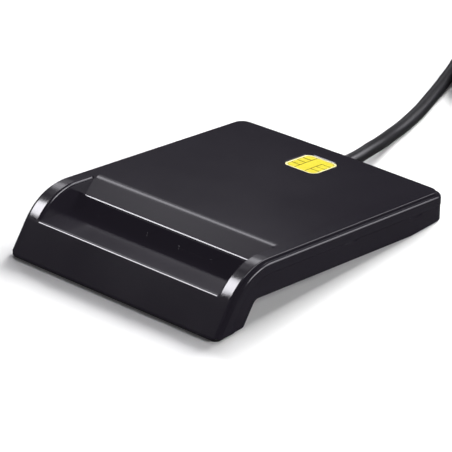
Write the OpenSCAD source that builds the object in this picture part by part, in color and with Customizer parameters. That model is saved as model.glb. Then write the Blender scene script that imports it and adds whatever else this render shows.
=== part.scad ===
// Desktop smart card reader: a bent two-part housing with a card mouth in its front wall.
// +X is to the reader's right, +Y runs from the mouth to the cord, +Z is up.
// The origin is on the table, under the middle of the housing.

/* [Body] */
// Width across the side walls
body_w = 70; // [68:0.5:76]
// Length from the front of the foot to the rear wall
body_l = 90.2; // [88:0.5:100]
// Height at which the deck and the front face would meet if the bend were sharp
peak_z = 15.75; // [15.45:0.1:17.95]
// Distance from the front of the foot back to that sharp corner
peak_run = 11.2; // [10.6:0.1:12]
// Height of the deck's plane at the rear wall, which gives the deck its slope
rear_z = 7.53; // [7.2:0.05:8]
// Slope of the front face above the table, in degrees
front_lean = 53.4; // [52:0.2:56]
// Radius of the bend between deck and front face
bend_r = 16; // [13:0.5:17]
// Thickness of the housing under the deck
slab_t = 8.85; // [8.7:0.05:9.4]
// Thickness of the leg behind the front face
leg_t = 7.65; // [7.25:0.1:8.45]
// Radius of the inside corner where the leg meets the underside
under_r = 2; // [1:0.25:3]
// Radius of the two rear corners seen from above
rear_corner_r = 4.3; // [3:0.1:5]
// How far the rear wall bows out at its middle
rear_bow = 0.45; // [0.3:0.05:0.8]

/* [Shells] */
// Wall of the upper shell
wall_t = 1.7; // [1.4:0.1:1.8]
// Side walls of both shells
side_t = 1.6; // [1.3:0.1:1.8]
// Rear wall of both shells
rear_t = 1.8; // [1.4:0.1:2.4]
// Floor of the lower shell
floor_t = 1.2; // [1:0.05:1.25]
// Back wall of the leg
back_t = 1.5; // [1.2:0.1:1.8]
// Depth of the seam between the shells under the deck
seam_d = 3.6; // [3.3:0.1:4]
// How far the lower shell stands back from the side of the upper one
seam_inset = 0.12; // [0.05:0.01:0.25]
// Width of the ledge that runs round the raised deck
reveal_w = 1.3; // [0.9:0.1:1.6]
// Depth of that ledge below the deck
reveal_d = 0.75; // [0.5:0.05:1]
// Radius of the outer edge of the ledge
ledge_edge_r = 0.8; // [0.4:0.1:0.9]
// Radius of the deck's own edge
deck_edge_r = 0.3; // [0.15:0.05:0.4]

/* [Card mouth] */
// Width of the housing beside the mouth, on each side
mouth_side = 5.3; // [4.8:0.1:5.8]
// Depth of the card shelf below the deck
shelf_d = 7.2; // [7.15:0.05:7.3]
// How far the shelf reaches behind the sharp corner
shelf_back = 4.1; // [3:0.1:6]
// Place of the lip over the slot, behind the sharp corner
lip_run = 9.8; // [9.2:0.1:10.4]
// Depth of the lip below the deck
lip_d = 3.15; // [2.8:0.05:3.5]
// Length of the bevel from the lip up to the deck, along the deck
bevel_run = 7.1; // [6.6:0.1:7.6]
// Thickness of the cheeks and of the bevel's wall
cheek_t = 1.4; // [1.1:0.1:1.5]
// Radius along the top of the front wall
front_edge_r = 0.6; // [0.3:0.05:0.9]
// Radius along the top of the bevel
bevel_edge_r = 0.9; // [0.4:0.1:1.2]
// Radius along the lip
lip_edge_r = 0.25; // [0.15:0.05:0.4]
// Radius along the inner edges of the two cheeks
cheek_edge_r = 1; // [0.5:0.1:1.2]

/* [Card and connector] */
// Room between the card's guides and the side walls, which leaves the guides 54.68 apart
guide_side = 6.06; // [5.9:0.02:6.1]
// Thickness of the card
card_t = 0.76; // [0.7:0.01:0.8]
// Room behind the card's stop, up to the rear wall
stop_back = 13.7; // [13:0.1:15]
// Clearance between the card and the connector above it
card_head = 0.1; // [0.08:0.01:0.15]
// Depth of the connector's flat top, where the circuit board lies, below the deck
board_d = 4; // [3.8:0.05:4.1]
// Distance from the card's leading edge to its nearer row of pads
pad_near = 11.25; // [11:0.05:11.5]
// Distance between the two rows of pads
pad_rows = 7.62; // [7.5:0.02:7.8]
// Distance between neighbouring pads in a row
pad_pitch = 2.54; // [2.5:0.01:2.6]
// Distance of the pads from the card's centre line
pad_offset = 3.1; // [2.6:0.1:3.6]
// Width of one contact spring
spring_w = 0.9; // [0.7:0.05:1.1]
// Thickness of a contact spring
spring_t = 0.2; // [0.15:0.01:0.25]
// Length of a contact spring from its root to its crown
spring_l = 6; // [5.4:0.1:6.2]
// Travel of a contact spring when a card goes in
spring_travel = 0.6; // [0.5:0.02:0.65]

/* [Circuit board] */
// Clearance between the board and the bosses of the case screws beside it
board_side = 0.55; // [0.35:0.05:0.8]
// How far the board reaches in front of the connector
board_front = 3; // [2.6:0.1:3.4]
// Thickness of the board
board_t = 1; // [0.8:0.1:1.2]
// Gap from the board's rear edge to the rear wall
board_back = 2.4; // [2:0.1:3]
// Side of the controller chip
chip_w = 5; // [4:0.2:6]
// Height of the controller chip
chip_h = 0.85; // [0.7:0.05:0.9]

/* [Feet and screws] */
// Thickness of the rubber sole under the foot
sole_t = 0.7; // [0.6:0.05:0.9]
// Diameter of the rear feet
foot_d = 8; // [6:0.5:9]
// How far the rear feet stand out of the shell
foot_out = 0.25; // [0.2:0.05:0.35]
// Diameter of the case screws' heads
screw_head_d = 3.8; // [3.4:0.1:4.2]
// Diameter of the case screws' threads
screw_d = 1.8; // [1.6:0.1:2]
// Diameter of the bosses that the screws go into
boss_d = 4.6; // [4.2:0.1:5]

/* [Emblem] */
// Width of the gold contact emblem on the deck
emblem_w = 10.6; // [9:0.2:13]
// Length of the emblem
emblem_l = 10.8; // [10:0.2:14]
// Corner radius of the emblem
emblem_r = 2; // [1:0.1:3]
// Thickness of the emblem
emblem_t = 0.4; // [0.35:0.05:0.6]
// How far the emblem lies below the deck
emblem_sunk = 0.15; // [0.1:0.05:0.2]

/* [Cord and plug] */
// Diameter of the cord
cord_d = 3.8; // [3.5:0.1:4]
// Number of turns in the stored coil
coil_turns = 7.5; // [5.5:1:8.5]
// Clear distance between neighbouring turns
coil_gap = 0.7; // [0.6:0.05:1]
// Width of the plug's grip
grip_w = 15.6; // [14:0.2:17]
// Height of the plug's grip
grip_h = 8.4; // [7.6:0.1:9]
// Length of the plug's grip
grip_l = 24; // [20:0.5:30]
// Width of the plug's metal shell
plug_w = 12; // [11.8:0.1:12.2]
// Height of the plug's metal shell
plug_h = 4.5; // [4.4:0.05:4.6]
// Length of the metal shell that stands out of the grip
plug_l = 12; // [11.5:0.25:13]

/* [Hidden] */
$fn = 48;

// One overrun for every cut, and a length beyond every face
over = 0.5;
far = 2 * body_l;
// Gap that keeps neighbouring loose pieces apart
loose = 0.1;
// The deck's slope is rounded to this many steps a degree
tilt_steps = 100;

front_y = -body_l / 2;
rear_y = body_l / 2;
half_w = body_w / 2;
in_half_w = half_w - side_t;
deck_half_w = half_w - reveal_w;
mouth_w = body_w - 2 * mouth_side;
deck_tilt = round(tilt_steps * atan2(peak_z - rear_z, body_l - peak_run)) / tilt_steps;
turn = front_lean + deck_tilt;
bend_reach = bend_r * tan(turn / 2);
apex = [front_y + peak_run, peak_z];

// Inward normals of the deck and of the front face, in the side view
deck_n = [-sin(deck_tilt), -cos(deck_tilt)];
front_n = [sin(front_lean), -cos(front_lean)];

// The point of the side view that lies da under the deck and db behind the front face
function inward(da, db) =
  let (c = cos(turn), k = 1 - c * c)
  apex + deck_n * (da - c * db) / k + front_n * (db - c * da) / k;

// A place s along the deck and d below it, in the side view, and the place along the deck of a Y
function under_deck(s, d) = apex + s * [cos(deck_tilt), -sin(deck_tilt)] + d * deck_n;
function along(y, d) = (y - apex[0] + d * sin(deck_tilt)) / cos(deck_tilt);

bend_c = inward(bend_r, bend_r);
rear_in_y = rear_y - rear_bow - rear_t;
rear_in_s = along(rear_in_y, board_d);
rear_bottom_z = foot_out;
rear_floor_z = rear_bottom_z + floor_t;
sole_floor_z = sole_t + floor_t;
floor_d = slab_t - floor_t;

// Places along the deck
stop_s = rear_in_s - stop_back;
row_rear_s = stop_s - pad_near;
row_front_s = row_rear_s - pad_rows;
housing_start_s = row_front_s - spring_l - 2 * cheek_t;
housing_end_s = stop_s + cheek_t;
board_end_s = rear_in_s - board_back;
board_start_s = housing_start_s - board_front;
board_l = board_end_s - board_start_s;
card_top_d = shelf_d - card_t;
housing_bottom_d = card_top_d - card_head;
guide_half_w = in_half_w - guide_side;
screw_x = (guide_half_w + in_half_w) / 2;
board_w = 2 * (screw_x - boss_d / 2 - board_side);

// The lip, the shelf's end and the top of the bevel in the side view
lip_p = under_deck(lip_run, lip_d);
bevel_p = under_deck(lip_run + bevel_run, 0);
bevel_lean = atan2(lip_d, bevel_run);
// Where the shelf's plane meets the front face
shelf_front_p = inward(shelf_d, 0);

// Turns a side-view outline into a solid of width w about x = at
module side(w, at = 0) {
  translate([at, 0, 0]) rotate([90, 0, 90]) linear_extrude(height = w, center = true) children();
}

// Frames that lie in the deck and in the front face, with their outward side up
module on_deck() {
  translate([0, apex[0], apex[1]]) rotate([-deck_tilt, 0, 0]) children();
}
module on_front() {
  translate([0, apex[0], apex[1]]) rotate([front_lean, 0, 0]) children();
}

// Side view: all that lies deeper than da under the deck and db behind the front, with a round corner
module corner_2d(da, db, r) {
  c = inward(da + r, db + r);
  intersection() {
    translate(apex) rotate(-deck_tilt) translate([-far, -far]) square([2 * far, far - da]);
    translate(apex) rotate(front_lean) translate([-far, -far]) square([2 * far, far - db]);
    union() {
      translate(c) circle(r = r);
      translate(c) rotate(-deck_tilt) translate([0, -far]) square([far, 2 * far]);
      translate(c) rotate(front_lean) translate([-far, -far]) square([far, 2 * far]);
    }
  }
}

// Side view: what lies deeper than d under the whole bent outer face
module skin_2d(d) {
  corner_2d(d, d, bend_r - d);
}

// Side view: cuts a sharp corner at p, whose faces leave it at the angles a and b, to a radius r
module round_off_2d(p, a, b, r) {
  half = (b - a) / 2;
  t = r / tan(half);
  c = p + (r / sin(half)) * [cos(a + half), sin(a + half)];
  ta = p + t * [cos(a), sin(a)];
  tb = p + t * [cos(b), sin(b)];
  out_a = (ta - c) * over / r;
  out_b = (tb - c) * over / r;
  difference() {
    polygon([c, ta, ta + out_a, p + out_a + out_b, tb + out_b, tb]);
    translate(c) circle(r = r);
  }
}

// Side view: the whole housing, with the air under the slab taken away
module body_2d() {
  foot_back = inward(slab_t, leg_t);
  difference() {
    intersection() {
      skin_2d(0);
      translate([front_y, 0]) square([body_l, peak_z]);
    }
    corner_2d(slab_t, leg_t, under_r);
    translate([front_y - over, -over]) square([foot_back[0] - front_y + over, sole_t + over]);
    translate([foot_back[0] - over, -over]) square([body_l, rear_bottom_z + over]);
    round_off_2d([foot_heel_y, sole_t], front_lean, 180, heel_r);
    round_off_2d([rear_y, rear_bottom_z], 90, 180, rear_edge_r);
  }
}
heel_r = leg_t / 8;
rear_edge_r = 0.7 * reveal_d;
// Where the back of the leg meets the sole
foot_heel_y = apex[0] + leg_t / sin(front_lean) - (apex[1] - sole_t) / tan(front_lean);

// Side view: the hollow of the housing
module hollow_2d() {
  heel_in_y = foot_heel_y + leg_t;
  difference() {
    intersection() {
      skin_2d(wall_t);
      union() {
        translate([front_y, sole_floor_z]) square([rear_in_y - front_y, peak_z]);
        translate([heel_in_y, rear_floor_z]) square([rear_in_y - heel_in_y, peak_z]);
      }
    }
    corner_2d(floor_d, leg_t - back_t, under_r + floor_t);
  }
}

// Outline from above, set in by the given amount, as a tall prism. The rear wall is one wide arc,
// and each rear corner is an arc that runs smoothly from it into the side wall
module plan(inset) {
  w = half_w - inset;
  r = rear_corner_r - inset;
  bow_r = (pow(w - r, 2) + pow(rear_bow, 2)) / (2 * rear_bow);
  bow_y = rear_y - inset - bow_r;
  corner_y = bow_y + sqrt(pow(bow_r - r, 2) - pow(w - r, 2));
  meet = atan2(corner_y - bow_y, w - r);
  reach = r + over;
  translate([0, 0, -over]) linear_extrude(height = peak_z + 2 * over) difference() {
    intersection() {
      translate([-w, front_y - over]) square([2 * w, body_l + 2 * over]);
      translate([0, bow_y]) circle(r = bow_r, $fn = 1440);
    }
    for (s = [0, 1]) mirror([s, 0]) translate([w - r, corner_y]) difference() {
      polygon([[0, 0], [reach, 0], [reach, reach], reach * [cos(meet), sin(meet)]]);
      circle(r = r);
    }
  }
}

// The waste of a rounded edge, in the plane across it
module edge_2d(r) {
  difference() {
    square([r + over, r + over]);
    circle(r = r);
  }
}

// Sweeps a small outline round part of the bend, with its origin at half width w and d below the
// outer face, its first axis pointing outward and its second one up
module round_bend(w, d, angle) {
  translate([0, bend_c[0], bend_c[1]]) rotate([90, 0, 90]) rotate([0, 0, 90 - deck_tilt])
    rotate_extrude(angle = angle) translate([bend_r - d, w]) rotate(90) mirror([0, 1]) children();
}

// Rounds both long edges of a bent layer of half width w whose top lies d below the outer face
module round_long_edges(w, d, r) {
  for (s = [0, 1]) {
    mirror([s, 0, 0]) {
      on_deck() translate([w - r, far, -d - r]) rotate([90, 0, 0])
        linear_extrude(height = far - bend_reach) edge_2d(r);
      round_bend(w - r, d + r, turn) edge_2d(r);
      on_front() translate([w - r, -bend_reach, -d - r]) rotate([90, 0, 0])
        linear_extrude(height = far) edge_2d(r);
    }
  }
}

// Rounds the inner edges of the two cheeks, from the bevel round the bend to the shelf
module round_cheeks() {
  r = cheek_edge_r;
  end_s = lip_run + 0.8 * bevel_run;
  cheek_turn = acos((bend_r - shelf_d) / (bend_r - r / 3));
  for (s = [0, 1]) {
    mirror([s, 0, 0]) {
      on_deck() translate([mouth_w / 2 + r, end_s, -r]) rotate([90, 0, 0])
        linear_extrude(height = end_s - bend_reach) mirror([1, 0]) edge_2d(r);
      round_bend(mouth_w / 2 + r, r, cheek_turn) mirror([1, 0]) edge_2d(r);
    }
  }
}

// Side view, in the deck's frame: the open space of the card mouth
module mouth_2d() {
  translate(apex) rotate(-deck_tilt) polygon([
    [-far, -shelf_d], [lip_run, -shelf_d], [lip_run, -lip_d],
    [lip_run + bevel_run, 0], [lip_run + bevel_run, far], [-far, far]
  ]);
  round_off_2d(shelf_front_p, front_lean - 180, -deck_tilt, front_edge_r);
  round_off_2d(bevel_p, -deck_tilt, bevel_edge_a, bevel_edge_r);
  round_off_2d(lip_p, -deck_tilt, bevel_lean - deck_tilt, lip_edge_r);
}
bevel_edge_a = -(180 - bevel_lean) - deck_tilt;

// Side view: the shelf, the bevel's wall and the cheeks
module shelf_2d() {
  difference() {
    intersection() {
      skin_2d(0);
      translate(apex) rotate(-deck_tilt) translate([-far, -shelf_d - cheek_t])
        square([far + shelf_back, cheek_t]);
    }
    lower_floor_2d();
  }
}
// Side view: the room that the lower shell's floor and back wall take
module lower_floor_2d() {
  corner_2d(floor_d - loose, leg_t - back_t - loose, under_r + floor_t + loose);
}
module bevel_wall_2d() {
  translate(apex) rotate(-deck_tilt) polygon([
    [lip_run, -lip_d], [lip_run + bevel_run, 0],
    [lip_run + bevel_run + bevel_back, 0], [lip_run + bevel_back, -lip_d]
  ]);
}
bevel_back = 0.8 * cheek_t / sin(bevel_lean);
module cheek_2d() {
  difference() {
    intersection() {
      skin_2d(0);
      translate(apex) rotate(-deck_tilt) polygon([
        [-far, -shelf_d - cheek_t], [lip_run + bevel_back, -shelf_d - cheek_t],
        [lip_run + bevel_back, -lip_d], [lip_run + bevel_run + bevel_back, 0], [-far, 0]
      ]);
    }
    lower_floor_2d();
  }
}

// Depth of the housing's underside at a place along the deck
function under_d(s) = min(slab_t, (peak_z - rear_bottom_z - s * sin(deck_tilt)) / cos(deck_tilt));

// Places of the case screws: across, and along the deck
screw_front_s = lip_run + bevel_run + boss_d;
screw_rear_s = board_end_s - boss_d / 2;
screw_places = [for (s = [-1, 1], y = [screw_front_s, screw_rear_s]) [s * screw_x, y]];
boss_joint_d = board_d + board_t;
head_h = 0.6 * floor_t;
head_sink = 0.9 * floor_t;

// Places of the board's screws
board_screw_x = board_w / 2 - boss_d;
board_screw_s = stop_s + (board_end_s - stop_s) / 2;

// Centre of the cord where it leaves the rear wall, on the seam
exit_z = under_deck(along(rear_y, seam_d), seam_d)[1];
relief_t = 0.55;
relief_r = cord_d / 2 + relief_t;
relief_out = 2;

// The rear end of the ledge round the deck, in the side view
rear_edge_p = under_deck(along(rear_y, reveal_d), reveal_d);

module upper_shell() {
  color([0.06, 0.06, 0.07])
  difference() {
    union() {
      difference() {
        union() {
          intersection() {
            plan(0);
            side(body_w) difference() {
              intersection() {
                body_2d();
                skin_2d(reveal_d);
              }
              skin_2d(seam_d);
              round_off_2d(rear_edge_p, -90, -180 - deck_tilt, ledge_edge_r);
            }
          }
          intersection() {
            plan(reveal_w);
            side(body_w) difference() {
              body_2d();
              skin_2d(seam_d);
            }
          }
        }
        side(2 * in_half_w) hollow_2d();
        round_long_edges(half_w, reveal_d, ledge_edge_r);
        round_long_edges(deck_half_w, 0, deck_edge_r);
      }
      side(mouth_w + 2 * cheek_t) shelf_2d();
      side(mouth_w + 2 * cheek_t) bevel_wall_2d();
      for (s = [-1, 1]) side(cheek_t, s * (mouth_w + cheek_t) / 2) cheek_2d();
      upper_bosses();
      board_pads();
    }
    side(mouth_w) mouth_2d();
    round_cheeks();
    for (p = screw_places) on_deck() translate([p[0], p[1], -boss_joint_d - over])
      cylinder(d = screw_d - loose, h = boss_joint_d - wall_t + over);
    emblem_pocket();
    gland_cut();
  }
}

module upper_bosses() {
  for (p = screw_places) on_deck() translate([p[0], p[1], -boss_joint_d])
    cylinder(d = boss_d, h = boss_joint_d - wall_t / 2);
}

// Two ribs under the deck that hold the front of the board down
module board_pads() {
  rib_l = board_w / 4;
  for (s = [-1, 1]) on_deck()
    translate([s * board_w / 4 - rib_l / 2, board_start_s + cheek_t, -board_d + board_t + loose])
    cube([rib_l, cheek_t, board_d - board_t - loose - wall_t / 2]);
}

module emblem_pocket() {
  on_deck() translate([0, emblem_s, -emblem_sunk - emblem_t]) linear_extrude(height = emblem_t + far)
    badge_2d(emblem_w + 2 * loose, emblem_l + 2 * loose, emblem_r + loose);
}
emblem_s = board_end_s - emblem_l * 0.85;

// A rounded rectangle about the origin
module badge_2d(w, l, r) {
  square([w - 2 * r, l], center = true);
  square([w, l - 2 * r], center = true);
  for (x = [-1, 1], y = [-1, 1]) translate([x * (w / 2 - r), y * (l / 2 - r)]) circle(r = r);
}

// The round hole for the strain relief, shared by both shells
module gland_cut() {
  translate([0, rear_in_y - over, exit_z]) rotate([-90, 0, 0])
    cylinder(r = relief_r, h = rear_t + rear_bow + 2 * over);
}

runner_h = floor_d - shelf_d;
runner_w = 1.2;
runner_start_s = lip_run + runner_w;
// Places of the card runners across the mouth, as shares of its width
runner_x_shares = [-0.398, -0.118, 0.062, 0.242];
runner_x = [for (share = runner_x_shares) share * mouth_w];

module lower_shell() {
  color([0.05, 0.05, 0.06])
  difference() {
    union() {
      difference() {
        intersection() {
          plan(seam_inset);
          side(body_w) intersection() {
            body_2d();
            skin_2d(seam_d);
          }
        }
        side(2 * in_half_w) hollow_2d();
      }
      tongues();
      runners();
      lower_bosses();
      board_posts();
    }
    for (p = screw_places) on_deck() translate([p[0], p[1], -under_d(p[1]) - far]) {
      cylinder(d = screw_head_d + 2 * loose, h = far + head_sink);
      cylinder(d = screw_d + 2 * loose, h = far + slab_t);
    }
    for (s = [-1, 1]) on_deck() translate([s * board_screw_x, board_screw_s, -board_d - screw_d - over])
      cylinder(d = screw_d - loose, h = slab_t);
    for (s = [-1, 1], y = notch_places) pry_notch(s, y);
    for (s = [-1, 1]) translate([s * foot_x, foot_y, -over])
      cylinder(d = foot_d + 2 * loose, h = foot_seat_z + over);
    gland_cut();
  }
}

// Strips along both sides that slide inside the upper shell and line the two up
module tongues() {
  up = 0.6 * side_t;
  for (s = [-1, 1]) {
    side(tongue_t - loose, s * (in_half_w - (tongue_t + loose) / 2)) intersection() {
      hollow_2d();
      difference() {
        skin_2d(seam_d - up);
        skin_2d(seam_d + up);
      }
      tongue_span_2d();
    }
    side(tongue_t, s * (in_half_w - tongue_t / 2)) intersection() {
      hollow_2d();
      difference() {
        skin_2d(seam_d);
        skin_2d(seam_d + up);
      }
      tongue_span_2d();
    }
  }
}
tongue_t = 0.45 * side_t;
module tongue_span_2d() {
  translate([front_y, sole_floor_z]) square([rear_in_y - front_y - rear_corner_r, peak_z]);
}

// Low ribs on the floor that carry the card, and the bar that joins two of them at the mouth
module runners() {
  run = stop_s - runner_start_s;
  nose = runner_w / 2;
  for (x = runner_x) on_deck() translate([x, runner_start_s + nose, -floor_d - loose]) {
    translate([-runner_w / 2, 0, 0]) cube([runner_w, run - nose, runner_h + loose]);
    cylinder(r = nose, h = runner_h + loose);
  }
  on_deck() translate([runner_x[2], runner_start_s, -floor_d - loose])
    cube([runner_x[3] - runner_x[2], runner_w, runner_h + loose - shelf_drop]);
}
shelf_drop = 0.2 * runner_h;

module lower_bosses() {
  for (p = screw_places) on_deck() translate([p[0], p[1], -under_d(p[1]) + floor_t / 2])
    cylinder(d = boss_d, h = under_d(p[1]) - floor_t / 2 - boss_joint_d);
}

// Posts behind the card stop that carry the rear of the board
module board_posts() {
  foot = under_d(board_screw_s) - floor_t / 2;
  for (s = [-1, 1]) on_deck() translate([s * board_screw_x, board_screw_s, -foot])
    cylinder(d = boss_d, h = foot - board_d);
}

notch_l = 5;
notch_h = 0.5;
// Places of the pry notches along the deck
notch_places = [for (share = [0.51, 0.85]) share * rear_in_s];
module pry_notch(s, y) {
  on_deck() translate([s * half_w, y, -seam_d - notch_h / 2])
    cube([notch_h * 2, notch_l, notch_h], center = true);
}

foot_x = screw_x - screw_head_d - foot_d / 2;
foot_y = rear_y - rear_corner_r - foot_d / 2;
foot_seat_z = rear_bottom_z + floor_t / 3;

module rear_feet() {
  color([0.13, 0.13, 0.13])
  for (s = [-1, 1]) translate([s * foot_x, foot_y, 0]) cylinder(d = foot_d, h = foot_seat_z);
}

sole_back_y = foot_heel_y - heel_r;
module front_sole() {
  color([0.1, 0.1, 0.1])
  translate([0, (front_y + sole_back_y) / 2, 0]) linear_extrude(height = sole_t)
    badge_2d(body_w - 2 * seam_inset, sole_back_y - front_y, ledge_edge_r);
}

module case_screws() {
  color([0.62, 0.62, 0.64])
  for (p = screw_places) on_deck() translate([p[0], p[1], -under_d(p[1]) + head_sink]) {
    translate([0, 0, -head_h]) difference() {
      cylinder(d = screw_head_d, h = head_h);
      for (a = [0, 90]) rotate([0, 0, a]) cube([screw_head_d / 2, screw_d / 4, head_h], center = true);
    }
    cylinder(d = screw_d - loose, h = under_d(p[1]) - head_sink - wall_t - screw_d / 2);
  }
}

// Grooves between the emblem's plain pads: two across bars, a middle band and an end band
module emblem_grooves_2d() {
  pad_w = 0.31 * emblem_w;
  rows = 4;
  pad_l = emblem_l / rows;
  edge = emblem_w / 2 - pad_w;
  for (i = [1 : rows - 1]) translate([-emblem_w / 2, i * pad_l - emblem_l / 2 - groove_w / 2])
    square([pad_w, groove_w]);
  translate([-edge - groove_w / 2, -emblem_l / 2]) square([groove_w, emblem_l]);
  for (i = [1 : rows - 1]) translate([edge, i * pad_l - emblem_l / 2 - groove_w / 2])
    square([pad_w, groove_w]);
  translate([edge - groove_w / 2, -emblem_l / 2]) square([groove_w, emblem_l - pad_l + groove_w / 2]);
}
groove_w = 0.25;
groove_h = 0.12;
module chip_emblem() {
  color([0.93, 0.75, 0.22])
  on_deck() translate([0, emblem_s, -emblem_sunk - emblem_t]) difference() {
    linear_extrude(height = emblem_t) badge_2d(emblem_w, emblem_l, emblem_r);
    translate([0, 0, emblem_t - groove_h]) linear_extrude(height = groove_h + over) emblem_grooves_2d();
  }
}

module circuit_board() {
  color([0.05, 0.32, 0.16])
  on_deck() difference() {
    translate([-board_w / 2, board_start_s, -board_d]) cube([board_w, board_l, board_t]);
    for (s = [-1, 1]) translate([s * board_screw_x, board_screw_s, -board_d - over])
      cylinder(d = screw_d + 2 * loose, h = board_t + 2 * over);
  }
}

module board_screws() {
  color([0.7, 0.7, 0.72])
  for (s = [-1, 1]) on_deck() translate([s * board_screw_x, board_screw_s, -board_d + board_t]) {
    difference() {
      cylinder(d = boss_d - 2 * loose, h = board_screw_h);
      translate([0, 0, board_screw_h]) cube([boss_d / 2, screw_d / 4, board_screw_h], center = true);
    }
    translate([0, 0, -board_t - screw_d]) cylinder(d = screw_d - loose, h = board_t + screw_d);
  }
}
board_screw_h = (board_d - board_t - wall_t) / 2;

// The connector: a flat block under the board that rides over the card, with a rail each side
slot_w = spring_w + 4 * loose;
crown_run = 1.4;
pads_x = [for (i = [0:3]) pad_offset + (i - 1.5) * pad_pitch];

module connector_housing() {
  housing_l = housing_end_s - housing_start_s;
  lead_in = housing_bottom_d - board_d;
  color([0.12, 0.12, 0.12])
  on_deck() difference() {
    union() {
      rotate([90, 0, 90]) linear_extrude(height = board_w, center = true) polygon([
        [housing_start_s, -board_d], [housing_end_s, -board_d], [housing_end_s, -housing_bottom_d],
        [housing_start_s + lead_in, -housing_bottom_d], [housing_start_s, -board_d - lead_in / 3]
      ]);
      for (s = [-1, 1]) translate([s * (guide_half_w + cheek_t / 2), housing_start_s + housing_l / 2,
        -(board_d + floor_d - loose) / 2])
        cube([cheek_t, housing_l, floor_d - loose - board_d], center = true);
      translate([-guide_half_w, stop_s, -shelf_d + loose])
        cube([2 * guide_half_w, cheek_t, shelf_d - board_d - loose]);
    }
    for (x = pads_x, row = [row_front_s, row_rear_s])
      translate([x - slot_w / 2, row - spring_l - slot_gap, -housing_bottom_d - over])
      cube([slot_w, spring_l + crown_run + 2 * slot_gap, housing_bottom_d - board_d + over - roof_t]);
    translate([lever_x - lever_w / 2 - slot_gap, lever_s - slot_gap - spring_t, -shelf_d])
      cube([lever_w + 2 * slot_gap, housing_end_s - lever_s + slot_gap + spring_t + over,
        shelf_d - board_d - roof_t]);
  }
}
slot_gap = 0.3;
roof_t = 0.25;

// Four springs of one row. Each starts at its root, dips to its crown and turns up at its end
root_d = board_d + 0.25 * (housing_bottom_d - board_d);
crown_d = card_top_d + spring_travel;
module contact_row(row) {
  root = [row - spring_l, -root_d];
  dip = atan2(crown_d - spring_t - root_d, spring_l);
  arm = spring_l / cos(dip);
  color([0.86, 0.7, 0.35])
  for (x = pads_x) on_deck() translate([x - spring_w / 2, 0, 0]) rotate([90, 0, 90])
    linear_extrude(height = spring_w) {
      translate(root) circle(d = spring_t * 1.6);
      translate(root) rotate(-dip) translate([0, -spring_t / 2]) square([arm, spring_t]);
      translate([row, -crown_d + spring_t / 2]) circle(d = spring_t);
      translate([row, -crown_d + spring_t / 2]) rotate(2 * dip) translate([0, -spring_t / 2])
        square([crown_run * 0.8, spring_t]);
    }
}
module contact_row_front() {
  contact_row(row_front_s);
}
module contact_row_rear() {
  contact_row(row_rear_s);
}

// Solder tails that come out of the housing's ends and lie on the board
module contact_tails() {
  end_l = cheek_t;
  color([0.8, 0.8, 0.78])
  for (x = pads_x, y = [housing_start_s - end_l, housing_end_s]) on_deck()
    translate([x - spring_w / 2, y, -board_d - spring_t]) cube([spring_w, end_l, spring_t]);
}

// The card detector: a leaf that the card pushes back, and the fixed contact that its finger meets
lever_x = -0.72 * guide_half_w;
lever_w = 3;
lever_reach = 0.6;
lever_s = stop_s - lever_reach;
lever_top_d = board_d + roof_t + spring_t + loose;
lever_l = shelf_d - slot_gap - lever_top_d;
finger_l = cheek_t - 2 * loose;
module detect_lever() {
  color([0.84, 0.66, 0.3])
  on_deck() translate([lever_x, lever_s, -lever_top_d]) rotate([90, 0, 90])
    linear_extrude(height = lever_w, center = true) {
      circle(d = 2 * spring_t);
      translate([-spring_t / 2, -lever_l]) square([spring_t, lever_l]);
      translate([0, -lever_l]) square([finger_l, spring_t]);
    }
}
module detect_contact() {
  contact_s = housing_end_s + loose;
  color([0.8, 0.8, 0.78])
  on_deck() translate([lever_x - lever_w / 4, contact_s, -lever_top_d - lever_l])
    cube([lever_w / 2, spring_t, lever_top_d + lever_l - board_d]);
}

chip_s = board_start_s + 0.4 * board_l;
module controller_chip() {
  color([0.1, 0.1, 0.11])
  on_deck() translate([-board_w / 5 - chip_w / 2, chip_s - chip_w / 2, -board_d + board_t])
    cube([chip_w, chip_w, chip_h]);
}

// The crystal hangs under the board, behind the card stop
crystal_l = 5;
crystal_w = 3.2;
crystal_h = 1.2;
module crystal() {
  color([0.75, 0.75, 0.77])
  on_deck() translate([-board_w / 5, board_screw_s, -board_d - crystal_h])
    linear_extrude(height = crystal_h) badge_2d(crystal_l, crystal_w, crystal_w / 5);
}

capacitor_l = 1.6;
capacitor_w = 0.8;
capacitor_h = 0.8;
module capacitors() {
  color([0.6, 0.48, 0.36])
  on_deck() translate([board_w / 10, chip_s, -board_d + board_t])
    for (i = [0:3]) translate([2 * i * capacitor_w, -capacitor_l / 2, 0])
      cube([capacitor_w, capacitor_l, capacitor_h]);
}

led_w = 1.6;
led_h = 0.8;
module status_led() {
  color([0.9, 0.95, 0.9])
  on_deck() translate([board_w / 3, board_start_s + led_h, -board_d - led_h])
    cube([led_w, led_h, led_h]);
}

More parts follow.
